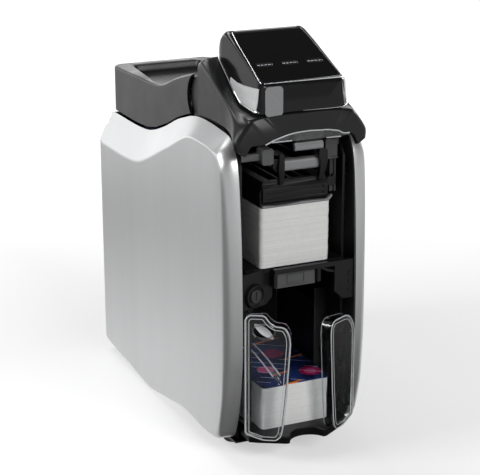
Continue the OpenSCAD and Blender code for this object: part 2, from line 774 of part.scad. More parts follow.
module card_track() {
    color("#2a2b2d") at_frame() difference() {
        block([-bay_x, 102.5, path_z - 3.4], [bay_x, 232, path_z - 0.6]);
        for (d = [feed_d, platen_d])
            block([-30, d - roller_r - 2, path_z - 6], [30, d + roller_r + 2, path_z + 1]);
        for (x = [-24 : 12 : 24])
            block([x - 3, 172, path_z - 6], [x + 3, 222, path_z + 1]);
    }
}

module main_board() {
    color("#1f5b3a") at_frame() {
        block([-38.6, 104, 56], [-37, 240, 118]);
        for (d = [110, 234], z = [62, 112])
            rod_x(-frame_in, -38.6, d, z, 2.5);
        block([-37, 150, 78], [-34.6, 172, 100]);
        block([-37, 190, 70], [-35.2, 204, 92]);
        block([-37, 116, 66], [-30, 122, 96]);
        for (d = [212 : 9 : 230]) rod_x(-37, -26, d, 104, 3.6);
    }
}

module drive_motor() {
    color("#3c3e41") at_frame() {
        difference() {
            block([12, feed_idler_d - 15, motor_z - 15], [frame_in, feed_idler_d + 15, motor_z + 15]);
            for (d = [-15, 15], z = [-15, 15])
                translate([11, feed_idler_d + d, motor_z + z]) rotate([45, 0, 0])
                    translate([0, -2, -2]) cube([40, 4, 4]);
            rod_x(frame_in - 8, frame_in + 1, feed_idler_d, motor_z, 2.5 + run_gap);
        }
    }
}

// Outline of a gear with straight-sided teeth; the first tooth points at angle "at".
module gear_face(teeth, at) {
    pitch = 360 / teeth;
    root_r = gear_m * teeth / 2 - 1.1 * gear_m;
    tip_r = gear_m * teeth / 2 + 0.8 * gear_m;
    polygon([for (i = [0 : teeth - 1], c = [[-0.3, 0], [-0.12, 1], [0.12, 1], [0.3, 0]])
        let (a = at + (i + c[0]) * pitch, r = c[1] == 1 ? tip_r : root_r)
        [r * cos(a), r * sin(a)]]);
}

// A gear on the right frame, with its hub hole.
module gear(teeth, d, z, at, hole_r) {
    translate([gear_x, d, z]) rotate([90, 0, 90]) linear_extrude(gear_w) difference() {
        gear_face(teeth, at);
        circle(r = hole_r);
        if (teeth > 15)
            for (a = [0 : 60 : 300]) rotate(a)
                translate([gear_m * teeth / 4 + 1, 0]) circle(r = gear_m * teeth / 16);
    }
}

// Angle of the second gear's first tooth so that it meshes with the first gear.
// toward is the direction from the first gear's centre to the second's.
function mesh_at(teeth_a, at_a, teeth_b, toward) =
    toward + 180 - 360 / teeth_b * (0.5 - (toward - at_a) * teeth_a / 360);

idler_to_platen = atan2(roller_z - feed_idler_z, platen_d - feed_idler_d);
idler_to_feed = atan2(roller_z - feed_idler_z, feed_d - feed_idler_d);
feed_to_pick_idler = atan2(pick_idler_z - roller_z, pick_idler_d - feed_d);
pick_idler_to_pick = atan2(roller_z - pick_idler_z, pick_d - pick_idler_d);
feed_idler_at = 0;
platen_at = mesh_at(feed_idler_teeth, feed_idler_at, gear_teeth, idler_to_platen);
feed_at = mesh_at(feed_idler_teeth, feed_idler_at, gear_teeth, idler_to_feed);
pick_idler_at = mesh_at(gear_teeth, feed_at, pick_idler_teeth, feed_to_pick_idler);
pick_at = mesh_at(pick_idler_teeth, pick_idler_at, gear_teeth, pick_idler_to_pick);
pinion_at = mesh_at(feed_idler_teeth, feed_idler_at, pinion_teeth, -90);

module roller(d) {
    color("#262626") at_frame() difference() {
        rod_x(-29, 29, d, roller_z, roller_r);
        rod_x(-30, 30, d, roller_z, shaft_r);
    }
}

module roller_shaft(d) {
    color("#b9bcc0") at_frame() rod_x(-frame_out - 1, shaft_end + 0.6, d, roller_z, shaft_r);
}

module pick_roller() { roller(pick_d); }
module pick_shaft() { roller_shaft(pick_d); }
module feed_roller() { roller(feed_d); }
module feed_shaft() { roller_shaft(feed_d); }
module platen_roller() { roller(platen_d); }
module platen_shaft() { roller_shaft(platen_d); }

module pick_gear() {
    color("#e8e6df") at_frame() gear(gear_teeth, pick_d, roller_z, pick_at, shaft_r);
}

module feed_gear() {
    color("#e8e6df") at_frame() gear(gear_teeth, feed_d, roller_z, feed_at, shaft_r);
}

module platen_gear() {
    color("#e8e6df") at_frame() gear(gear_teeth, platen_d, roller_z, platen_at, shaft_r);
}

module pick_idler() {
    color("#e8e6df") at_frame()
        gear(pick_idler_teeth, pick_idler_d, pick_idler_z, pick_idler_at, shaft_r - 0.5 + run_gap);
}

module feed_idler() {
    color("#e8e6df") at_frame()
        gear(feed_idler_teeth, feed_idler_d, feed_idler_z, feed_idler_at, shaft_r - 0.5 + run_gap);
}

module motor_pinion() {
    color("#c8a24a") at_frame() {
        gear(pinion_teeth, feed_idler_d, motor_z, pinion_at, 2.5);
        rod_x(frame_in - 7.5, gear_x + gear_w, feed_idler_d, motor_z, 2.5);
    }
}

// ---------------------------------------------------------------- print head and ribbon

module head_bracket() {
    color("#9a9da1") at_frame() {
        block([-36, 148, 153.4], [36, 190, 155]);
        both_sides() along_x(34.4, 36) difference() {
            polygon([[148, 147], [162, 147], [166, 153], [190, 153], [head_pivot_d + 4, 156],
                [head_pivot_d + 5, head_pivot_z + 1], [head_pivot_d, head_pivot_z + 5],
                [head_pivot_d - 5, head_pivot_z + 3], [184, 158], [148, 158]]);
            translate([head_pivot_d, head_pivot_z]) circle(r = head_pin_r + run_gap);
        }
    }
}

module printhead() {
    color("#c9c4b8") at_frame() {
        block([-33, 150, 146.6], [33, 162, 153.4]);
        along_x(-31, 31) polygon([[152, 146.6], [153.5, 144.4], [156, 144.4], [158, 146.6]]);
        for (d = [166 : 4 : 182])
            block([-30, d, 155], [30, d + 1.6, 163]);
        block([-30, 164, 155], [30, 186, 156.6]);
    }
}

module spool(d, z) {
    color("#dcdcd8") at_frame() {
        rod_x(-frame_out - 0.6, frame_out + 0.6, d, z, shaft_r);
        rod_x(-38, 38, d, z, 6);
        both_sides() rod_x(36, 38, d, z, 11);
    }
}

module ribbon_roll(d, z, r) {
    color("#2c2340") at_frame() difference() {
        rod_x(-29, 29, d, z, r);
        rod_x(-30, 30, d, z, 6);
    }
}

module supply_spool() { spool(supply_d, supply_z); }
module takeup_spool() { spool(takeup_d, takeup_z); }
module supply_ribbon() { ribbon_roll(supply_d, supply_z, 14); }
module takeup_ribbon() { ribbon_roll(takeup_d, takeup_z, 9); }

// ---------------------------------------------------------------- lid

// Half outlines of the lid as (x, height), from the bottom edge to the middle,
// for a row of depths. The front rows reach down into the two ears.
lid_rows = [
    [-1, [[46.6, 229.4], [47.2, 234.6], [43, 242], [38.6, 247.4], [35.4, 250.4], [20, 252.4], [0, 252.4]]],
    [0.6, [[48.9, 230.2], [49, 236], [44.6, 243.4], [40.4, 248.4], [36.4, 251.6], [20, 253.2], [0, 253.2]]],
    [4, [[50, 232], [49.8, 238], [45.4, 245], [41, 249.4], [37.2, 252], [20, 253.5], [0, 253.5]]],
    [13, [[47.2, 238.2], [47, 244], [45, 249.6], [41, 251.6], [36, 253], [20, 253.8], [0, 253.8]]],
    [27, [[44.2, 239.6], [44.2, 248], [43.8, 255.4], [41, 256.4], [36, 255], [20, 254.5], [0, 254.5]]],
    [40, [[43.7, 240.4], [43.8, 251], [43.5, 261], [41, 262.2], [36, 261], [20, 260], [0, 260]]],
    [56, [[43.5, 240.4], [43.6, 256], [43.4, 268.6], [41, 270.6], [36, 270.4], [20, 270], [0, 270]]],
    [72, [[43.5, 239.6], [43.5, 258], [43.3, 274], [41, 278], [36, 279.6], [20, 280], [0, 280]]],
    [78.5, [[43.5, 239.2], [43.5, 258], [43.3, 273], [41, 276.6], [36, 278.4], [20, 279], [0, 279]]]];

// Underside of the front rows: the ear's inner edge and the arched lip.
lip_line = [[42.5, 226.6], [40.6, 230.6], [38, 233.2], [30, 233.6], [24, 236.2], [12, 239.6], [0, 240.4]];

function half_inner(row) = row[0] < 5 ? lip_line :
    [for (i = [0 : len(row[1]) - 1])
        let (p = row[1][i], a = row[1][max(i - 1, 0)], b = row[1][min(i + 1, len(row[1]) - 1)],
            s = b - a)
        i == 0 ? p - [lid_wall, 0] : i == len(row[1]) - 1 ? p - [0, lid_wall] :
            p + lid_wall * [-s[1], s[0]] / norm(s)];

// Mirrors a half outline into a full one at a depth, from the left foot to the right.
function arch(d, half) = let (h = curve(half, 3), n = len(h)) concat(
    [for (k = [0 : n - 1]) [-h[k][0], d, h[k][1]]],
    [for (k = [1 : n - 1]) [h[n - 1 - k][0], d, h[n - 1 - k][1]]]);

// A closed vault between outer and inner arches, given front to back.
module vault(outer, inner) {
    n = len(outer[0]);
    last = len(outer) - 1;
    m = 2 * n;
    polyhedron(
        points = [for (k = [0 : last]) each concat(outer[k], inner[k])],
        faces = concat(
            [for (k = [0 : last - 1], j = [0 : n - 2]) each let (a = k * m + j, b = a + m)
                [[a, b, b + 1], [a, b + 1, a + 1], [a + n, b + n + 1, b + n], [a + n, a + n + 1, b + n + 1]]],
            [for (k = [0 : last - 1]) each let (a = k * m, b = a + m, c = a + n - 1, e = b + n - 1)
                [[a, b + n, b], [a, a + n, b + n], [c, e, e + n], [c, e + n, c + n]]],
            [for (j = [0 : n - 2]) each [[j, j + 1, j + 1 + n], [j, j + 1 + n, j + n]]],
            [for (j = [0 : n - 2]) each let (a = last * m + j)
                [[a, a + 1 + n, a + 1], [a, a + n, a + 1 + n]]]),
        convexity = 8);
}

module lid_shell() {
    color("#1d1e20") at_frame()
        vault([for (row = lid_rows) arch(row[0], row[1])],
            [for (row = lid_rows) arch(row[0], half_inner(row))]);
}

// U-shaped bracket under the lid, with the bores for the hinge pins.
arm_x0 = 36;
arm_x1 = bay_x - 0.3;

module lid_arms() {
    color("#2a2b2d") at_frame() {
        along_x(-arm_x1, arm_x1) polygon([[52, 264.9], [64, 272.4], [64, 270], [52, 262.5]]);
        both_sides() difference() {
            along_x(arm_x0, arm_x1) polygon([[52, 264.9], [64, 272.4], [69, 275.4], [77, 276],
                [77.6, 262], [lid_pivot_d, 258], [66, 257], [52, 257]]);
            rod_x(arm_x0 - 1, half_w, lid_pivot_d, lid_pivot_z, lid_pin_r + run_gap);
        }
    }
}

// Block behind the lip in which the latch tab slides.
module latch_block() {
    color("#18191b") at_frame() difference() {
        block([-4.5, 2.6, 231.6], [16.9, 9, 238]);
        block([3, 3.2, 230], [9, 10, 236]);
    }
}

module lid_latch() {
    color("#9fa1a3") at_frame() {
        along_x(-4.8, 16.7) polygon([[1, 227], [1.6, 226], [3.6, 226], [4.6, 231.2], [2.4, 231.2],
            [1.2, 229.6]]);
        block([3.4, 3.6, 230.6], [8.6, 5.6, 235.4]);
    }
}

// Places a piece on the sloped display face: x, distance up the slope, height above it.
module on_face() {
    translate([0, face_d0, face_z0]) rotate([face_slope, 0, 0]) children();
}

pod_line = [[0, 254.2], [-0.4, 256], [-0.4, 271], [0.3, 273.2], [2.2, 274.9],
    [face_d1 - 1, pod_top_z - 0.9], [61, pod_top_z - 0.1], [64, pod_top_z - 0.7], [67.4, pod_top_z - 3],
    [76.4, 282.4], [76, 281], [72, 281.2], [56, 271.3], [40, 261.4], [27, 255.8], [13, 254.8]];

// Section of the pod, with the visor's lower corners drawn out; g widens it.
module pod_section(g) {
    polygon([[-pod_x - 3.4 - g, 252], [pod_x + 3.4 + g, 252], [pod_x + 1.2 + g, 263],
        [pod_x + g, 276], [pod_x - 1.2 + g, 310], [1.2 - g - pod_x, 310], [-pod_x - g, 276],
        [-pod_x - 1.2 - g, 263]]);
}

module display_pod() {
    color("#0c0c0d") at_frame() difference() {
        intersection() {
            along_x(-pod_x - 5, pod_x + 5) polygon(pod_line);
            along_d(-5, 80) pod_section(0);
            translate([0, 0, 240]) linear_extrude(80)
                round_box([-pod_x - 3.4, -0.4], [pod_x + 3.4, 90], 6);
        }
        // hollow below the display
        along_x(-pod_x + 2.4, pod_x - 2.4) polygon([[3, 250], [3, 264], [14, 269], [58, 288.6],
            [66, 286], [70, 278], [56, 266], [40, 256], [27, 250]]);
        // bed of the glass and the well of the display module
        on_face() translate([-pod_x + 2.8, 2.6, -glass_t])
            cube([pod_w - 5.6, face_len - 5.2, glass_t + 5]);
        on_face() translate([-26, 12, -8]) cube([52, face_len - 20, 10]);
    }
}

module display_glass() {
    color("#050506") at_frame() on_face() difference() {
        translate([-pod_x + 3, 2.8, -glass_t]) cube([pod_w - 6, face_len - 5.6, glass_t - 0.2]);
        for (k = [-1 : 1])
            translate([k * key_pitch - key_w / 2 - key_gap, key_s - key_l / 2 - key_gap, -glass_t - 1])
                cube([key_w + 2 * key_gap, key_l + 2 * key_gap, glass_t + 2]);
    }
}

module soft_key(k) {
    color("#3c3d40") at_frame() on_face()
        translate([k * key_pitch - key_w / 2, key_s - key_l / 2, -glass_t - 0.6])
            cube([key_w, key_l, glass_t + 0.7]);
}

module left_key() { soft_key(-1); }
module middle_key() { soft_key(0); }
module right_key() { soft_key(1); }

module display_board() {
    color("#24503a") at_frame() on_face() {
        translate([-22, 13, -7.8]) cube([44, face_len - 22, 1.6]);
        translate([-19, key_s + 8, -6.2]) cube([38, face_len - key_s - 20, 3.9]);
        for (k = [-1 : 1])
            translate([k * key_pitch * 0.98 - 3, key_s - 1.6, -6.2]) cube([6, 3.2, 2.4]);
    }
}

// Bright strip along the lower edge of the pod's two sides.
module pod_trim() {
    color("#b8babd") at_frame() difference() {
        intersection() {
            along_x(-50, 50) polygon([[1, 255.6], [13, 256.2], [27, 257.2], [40, 262.8], [56, 272.7],
                [72, 282.6], [75, 284.6], [74, 286.2], [72, 284.4], [56, 274.3], [40, 264.4],
                [27, 258.7], [13, 257.7], [1, 257.2]]);
            along_d(1, 75) pod_section(1.5);
        }
        along_d(0, 90) pod_section(0.2);
    }
}

// Clear rim under the arched lip.
module lip_rim() {
    c = [for (p = curve(lip_line, 3)) if (p[0] < 32.5) p];
    m = len(c);
    color([0.8, 0.83, 0.86, 0.5]) at_frame() along_d(-1.4, 1.6) polygon(concat(
        [for (k = [0 : m - 1]) [-c[k][0], c[k][1] - 0.3]],
        [for (k = [1 : m - 1]) [c[m - 1 - k][0], c[m - 1 - k][1] - 0.3]],
        [for (k = [0 : m - 1]) [c[k][0], c[k][1] - 2.4]],
        [for (k = [1 : m - 1]) [-c[m - 1 - k][0], c[m - 1 - k][1] - 2.4]]));
}

// ---------------------------------------------------------------- rear cover

cover_side = lip_x - 0.8;
panel_tops = [for (i = [19 : len(panel_keys) - 1]) [panel_keys[i][0], panel_keys[i][1]]];
edge_keys = [[60, 273], [85.6, 267.4], [107.5, 261.6], [123.6, 256.5], [138, 251], [150, 247.3],
    [162, 245.5], [179, 244.8], [197, 245], [225, 243.4], [240, 242.4], [body_l, 242.6]];
dish_keys = [[60, 270], [80, 262.6], [92, 257], [107, 251], [124, 245], [140, 241], [162, 239],
    [180, 238.6], [200, 239.4], [225, 241], [243, 243.6], [body_l, 244.5]];
function half_at(d) = d < body_l - cover_corner_r ? cover_side :
    cover_side - cover_corner_r + sqrt(max(0.01, pow(cover_corner_r, 2)
        - pow(d - body_l + cover_corner_r, 2)));
function skirt_z(d) = lookup(d, panel_tops) + groove;

// Half outline of the cover at a depth, from the bottom edge to the middle.
function cover_half(d, w) =
    let (h = half_at(d) - w, low = skirt_z(d), e = lookup(d, edge_keys) - w,
        m = lookup(d, dish_keys) - w)
    [[h, low], [h, low + (e - low) * 0.6], [h - 0.2, e - 3], [h - 1.2, e - 0.8], [h - 3.4, e],
     [h * 0.84, e - (e - m) * 0.24], [h * 0.62, e - (e - m) * 0.72], [h * 0.3, m], [0, m]];

cover_ds = [74, 85.6, 96, 107.5, 123.6, 138, 150, 162, 179, 197, 225, 240, 248.5, 252,
    body_l - 3.4];
wall_ds = [body_l - 3.2, body_l - 1.6, body_l - 0.5];

// Straight line below an arch, with as many points.
function sill(d, half) = let (h = half[0][0], z = half[0][1], n = 6 * (len(half) - 1) + 1)
    [for (k = [0 : n - 1]) [-h + 2 * h * k / (n - 1), d, z - 0.6]];

module rear_cover() {
    color("#2b2c2e") at_frame() {
        difference() {
            vault([for (d = concat(cover_ds, wall_ds)) arch(d, cover_half(d, 0))],
                concat([for (d = cover_ds) arch(d, cover_half(d, cover_wall))],
                    [for (d = wall_ds) sill(d, cover_half(d, 0))]));
            // round notch beside the lid
            rod_x(-60, 60, arc_d, arc_z, beam_r + 1);
            block([-60, 60, 200], [60, 84.6, 290]);
            // slots that let the rear wall swing past the rear panel's hinge lugs
            for (x = hinge_lug_xs)
                block([x - 0.6, cover_pivot_d + 3, 200], [x + 8.6, body_l + 2, cover_pivot_z + 1.5]);
        }
        // hinge knuckles with their webs to the rear wall
        both_sides() difference() {
            union() {
                rod_x(31, 40, cover_pivot_d, cover_pivot_z, 3);
                block([31, cover_pivot_d - 1, cover_pivot_z], [40, body_l - 3, cover_pivot_z + 3]);
            }
            rod_x(30, 41, cover_pivot_d, cover_pivot_z, 1.5);
        }
    }
}

module cover_pin() {
    color("#b9bcc0") at_frame() rod_x(-40, 40, cover_pivot_d, cover_pivot_z, 1.5);
}

// ---------------------------------------------------------------- the printer

base_pan();
rubber_feet();
left_side_panel();
right_side_panel();
rear_panel();
rear_ports();
left_frame();
right_frame();
hinge_beam();
input_hopper();
guide_rail();
card_sensor();
input_cards();
front_bezel();
lock_housing();
output_tray();
left_guard();
right_guard();
output_cards();
printed_card();
card_track();
main_board();
drive_motor();
panel_screws();
lid_shell();
lid_arms();
display_pod();
display_glass();
pod_trim();
display_board();
lip_rim();
latch_block();
lid_latch();
left_key();
middle_key();
right_key();
rear_cover();
cover_pin();
card_weight();
weight_handle();
feed_flap();
lock_plug();
pick_roller();
pick_shaft();
pick_gear();
feed_roller();
feed_shaft();
feed_gear();
platen_roller();
platen_shaft();
platen_gear();
pick_idler();
feed_idler();
motor_pinion();
head_bracket();
printhead();
supply_spool();
supply_ribbon();
takeup_spool();
takeup_ribbon();
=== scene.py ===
"""Looks of a narrow desktop ID card printer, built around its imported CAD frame.

Lengths inside the classes are millimetres in the maker's own axes: X is the width, D the
depth behind the front plane of the side panels, Z the height above the floor. place() turns
them into the row frame's metres.
"""

import logging
import math
from dataclasses import dataclass, field
from enum import Enum

import bmesh
import bpy
import numpy as np
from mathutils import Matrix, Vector


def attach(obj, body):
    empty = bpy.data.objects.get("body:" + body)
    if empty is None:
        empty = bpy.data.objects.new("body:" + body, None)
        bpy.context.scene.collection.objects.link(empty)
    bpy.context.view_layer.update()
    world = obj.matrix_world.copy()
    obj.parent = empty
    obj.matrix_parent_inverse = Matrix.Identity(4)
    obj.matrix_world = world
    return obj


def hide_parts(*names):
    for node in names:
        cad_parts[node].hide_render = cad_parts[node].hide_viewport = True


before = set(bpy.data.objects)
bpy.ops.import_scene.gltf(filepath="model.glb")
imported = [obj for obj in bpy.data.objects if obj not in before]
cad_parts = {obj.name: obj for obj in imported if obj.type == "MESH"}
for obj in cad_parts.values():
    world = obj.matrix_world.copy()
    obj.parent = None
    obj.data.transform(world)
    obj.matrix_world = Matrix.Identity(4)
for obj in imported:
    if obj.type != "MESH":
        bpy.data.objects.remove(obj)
LOG = logging.getLogger("card_printer")

MM = 0.001
CENTRE_D = 121.5

Triple = tuple[float, float, float]
Colour = Triple
Array = np.ndarray
BOX_FACES = [[0, 3, 2, 1], [4, 5, 6, 7], [0, 1, 5, 4], [1, 2, 6, 5], [2, 3, 7, 6], [3, 0, 4, 7]]


class Body(Enum):
    """The moving bodies that pieces ride on."""

    PRINTER = "printer_body"
    LID = "lid"
    COVER = "cover"
    WEIGHT = "weight"
    FLAP = "flap"
    LOCK = "lock"
    HEAD = "head"


class Side(Enum):
    """Left and right, as the sign of X."""

    LEFT = -1
    RIGHT = 1


# ------------------------------------------------------------------ shapes


def place(points: Array) -> Array:
    """Turns millimetre points (x, d, z) into metres in the row frame: Y is d minus the middle depth.

    Args:
        points: any array whose last axis is x, d, z.

    Returns:
        The same points in metres.
    """
    return (np.asarray(points, float) - [0.0, CENTRE_D, 0.0]) * MM


def spline(points: Array, steps: int) -> Array:
    """Catmull-Rom curve through points: each span is the cubic whose end slopes are half the
    chord between the neighbours on either side.

    Args:
        points: (N, K) knots.
        steps: samples per span.

    Returns:
        ((N - 1) * steps + 1, K) samples, ending on the last knot.
    """
    p = np.asarray(points, float)
    span = np.arange(len(p) - 1)
    a, b, c, e = p[np.maximum(span - 1, 0)], p[:-1], p[1:], p[np.minimum(span + 2, len(p) - 1)]
    t = (np.arange(steps) / steps)[None, :, None]
    a, b, c, e = (q[:, None, :] for q in (a, b, c, e))
    curve = 0.5 * (2 * b + (c - a) * t + (2 * a - 5 * b + 4 * c - e) * t**2 + (3 * b - a - 3 * c + e) * t**3)
    return np.concatenate([curve.reshape(-1, p.shape[1]), p[-1:]])


def grid_faces(rows: int, columns: int, wrap: bool = False) -> Array:
    """Quads of a grid of rows by columns, each (r, c), (r+1, c), (r+1, c+1), (r, c+1).

    Args:
        rows: rows of points.
        columns: points in a row.
        wrap: joins the last column to the first.

    Returns:
        (M, 4) vertex numbers.
    """
    r, c = np.meshgrid(np.arange(rows - 1), np.arange(columns if wrap else columns - 1), indexing="ij")
    q = (c + 1) % columns
    return np.stack([r * columns + c, (r + 1) * columns + c, (r + 1) * columns + q, r * columns + q], -1).reshape(-1, 4)


def capped_faces(rings: int, n: int) -> list:
    """Faces of a closed skin over rings of n points: the grid between them, then both end caps."""
    last = (rings - 1) * n
    caps = [list(range(n)), [last + k for k in reversed(range(n))]]
    return grid_faces(rings, n, wrap=True).tolist() + caps


def rounded_rectangle(half: Array, radius: float, steps: int) -> Array:
    """Outline about the origin: a quarter circle at each corner, joined by straight edges.

    Args:
        half: half width and half length, up to the corner circles' centres.
        radius: corner radius.
        steps: points per corner.

    Returns:
        (4 * steps, 2) points.
    """
    turn = np.linspace(0, math.pi / 2, steps)
    quarter = radius * np.stack([np.cos(turn), np.sin(turn)], 1)
    corners = ((1, 1), (-1, 1), (-1, -1), (1, -1))
    return np.concatenate([(half + (quarter[::-1] if k % 2 else quarter)) * s for k, s in enumerate(corners)])


def inset(ring: Array, width: float) -> Array:
    """Moves each point of a clockwise outline inwards along the normal of its two neighbours.

    Args:
        ring: (N, 2) outline.
        width: distance to move.

    Returns:
        (N, 2) smaller outline.
    """
    s = np.roll(ring, -1, 0) - np.roll(ring, 1, 0)
    return ring + width * np.stack([s[:, 1], -s[:, 0]], 1) / np.linalg.norm(s, axis=1, keepdims=True)


def make_mesh(name: str, points: Array, faces: list, outward: bool = True, sharp: float = 32.0) -> bpy.types.Object:
    """Puts metre points and faces into a new object at the origin, smooth but for its sharp edges.

    Args:
        name: the piece's name.
        points: (N, 3) vertices in metres.
        faces: lists of vertex numbers.
        outward: recalculates the normals so that they face out.
        sharp: angle in degrees above which an edge stays sharp.

    Returns:
        The linked object.
    """
    mesh = bpy.data.meshes.new(name)
    mesh.from_pydata(np.asarray(points, float).reshape(-1, 3).tolist(), [], [list(map(int, f)) for f in faces])
    if outward:
        work = bmesh.new()
        work.from_mesh(mesh)
        bmesh.ops.recalc_face_normals(work, faces=work.faces)
        work.to_mesh(mesh)
        work.free()
    mesh.shade_smooth()
    mesh.set_sharp_from_angle(angle=math.radians(sharp))
    piece = bpy.data.objects.new(name, mesh)
    bpy.context.scene.collection.objects.link(piece)
    return piece


def solid(name: str, shape: tuple[Array, list], sharp: float = 32.0) -> bpy.types.Object:
    """Makes an object from millimetre vertices and faces, as the shape functions return them."""
    return make_mesh(name, place(shape[0]), shape[1], sharp=sharp)


def merged_copy(name: str, nodes: list[str], ease: float = 0.35, flat: float = 1.0) -> bpy.types.Object:
    """Copies CAD nodes into one piece, merges their loose triangles, dissolves flat joints and
    rounds the edges with a small bevel.

    Args:
        name: the piece's name.
        nodes: CAD nodes that it stands for.
        ease: bevel width in millimetres; 0 leaves the edges.
        flat: joints below this angle in degrees are dissolved.

    Returns:
        The linked object, not yet riding on a body.
    """
    work = bmesh.new()
    for node in nodes:
        work.from_mesh(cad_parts[node].data)
    bmesh.ops.remove_doubles(work, verts=work.verts, dist=2e-6)
    bmesh.ops.dissolve_degenerate(work, edges=work.edges, dist=2e-6)
    bmesh.ops.dissolve_limit(work, angle_limit=math.radians(flat), verts=work.verts, edges=work.edges)
    mesh = bpy.data.meshes.new(name)
    work.to_mesh(mesh)
    work.free()
    mesh.materials.clear()
    mesh.shade_smooth()
    mesh.set_sharp_from_angle(angle=math.radians(30))
    piece = bpy.data.objects.new(name, mesh)
    bpy.context.scene.collection.objects.link(piece)
    if ease:
        bevel = piece.modifiers.new("eased_edges", "BEVEL")
        bevel.width = ease * MM
        bevel.segments = 2
        bevel.limit_method = "ANGLE"
        bevel.angle_limit = math.radians(35)
        bevel.use_clamp_overlap = True
        bevel.harden_normals = False
    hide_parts(*nodes)
    return piece


def tube(path: Array, radius: float | Array, sides: int = 10) -> tuple[Array, list]:
    """A round bead along a path: at each point a circle of the radius across the path's direction.

    Args:
        path: (N, 3) millimetre points.
        radius: in millimetres, one or one per point.
        sides: points round the bead.

    Returns:
        Millimetre vertices and faces, ends closed.
    """
    path = np.asarray(path, float)
    along = np.gradient(path, axis=0)
    along /= np.linalg.norm(along, axis=1, keepdims=True)
    up = np.where(np.abs(along[:, 2:3]) > 0.95, [[0.0, 1.0, 0.0]], [[0.0, 0.0, 1.0]])
    side = np.cross(along, up)
    side /= np.linalg.norm(side, axis=1, keepdims=True)
    over = np.cross(side, along)
    turn = np.linspace(0, 2 * math.pi, sides, endpoint=False)[None, :, None]
    radius = np.broadcast_to(np.asarray(radius, float), len(path))[:, None, None]
    ring = path[:, None, :] + radius * (np.cos(turn) * side[:, None, :] + np.sin(turn) * over[:, None, :])
    return ring.reshape(-1, 3), capped_faces(len(path), sides)


def slab(low: tuple, high: tuple, corner: float, ease: float = 0.3, steps: int = 5) -> tuple[Array, list]:
    """A flat block with round upright corners and eased top and bottom edges: stacked rings of a
    rounded rectangle, the first and last drawn in by the ease.

    Args:
        low: lowest corner, millimetres.
        high: highest corner, millimetres.
        corner: corner radius.
        ease: edge easing.
        steps: points per corner.

    Returns:
        Millimetre vertices and faces.
    """
    low, high = np.array(low, float), np.array(high, float)

    def ring(draw: float, z: float) -> Array:
        """One level of the block, drawn in by draw."""
        r = max(corner - draw, 0.01)
        half = (high[:2] - low[:2]) / 2 - draw - r
        flat = (low[:2] + high[:2]) / 2 + rounded_rectangle(half, r, steps)
        return np.column_stack([flat, np.full(len(flat), z)])

    levels = [ring(ease, low[2]), ring(0, low[2] + ease), ring(0, high[2] - ease), ring(ease, high[2])]
    return np.concatenate(levels), capped_faces(len(levels), len(levels[0]))


def prism(outline: Array, low: float, high: float, axis: int = 0, ease: float = 0.0) -> tuple[Array, list]:
    """Carries a closed outline straight along an axis; with an ease its first and last rings are
    drawn in and a little shorter, which softens the rims.

    Args:
        outline: (N, 2) points in the other two axes' order.
        low: start along the axis.
        high: end along the axis.
        axis: 0 for X, 1 for D, 2 for Z.
        ease: rim softening, millimetres.

    Returns:
        Millimetre vertices and faces.
    """
    ring = np.asarray(outline, float)
    area = np.sum(ring[:, 0] * np.roll(ring[:, 1], -1) - np.roll(ring[:, 0], -1) * ring[:, 1])
    drawn = inset(ring, -ease if area > 0 else ease) if ease else ring
    levels = [(ring, low), (ring, high)]
    if ease:
        levels = [(drawn, low), (ring, low + ease), (ring, high - ease), (drawn, high)]
    points = np.concatenate([np.insert(r, axis, at, axis=1) for r, at in levels])
    return points, capped_faces(len(levels), len(ring))


def join(parts: list[tuple[Array, list]]) -> tuple[Array, list]:
    """Puts several vertex and face sets into one.

    Args:
        parts: (vertices, faces) pairs.

    Returns:
        One pair with the faces renumbered.
    """
    points, faces, start = [], [], 0
    for p, f in parts:
        points.append(p)
        faces += [[start + k for k in face] for face in f]
        start += len(p)
    return np.concatenate(points), faces


# ------------------------------------------------------------------ finishes


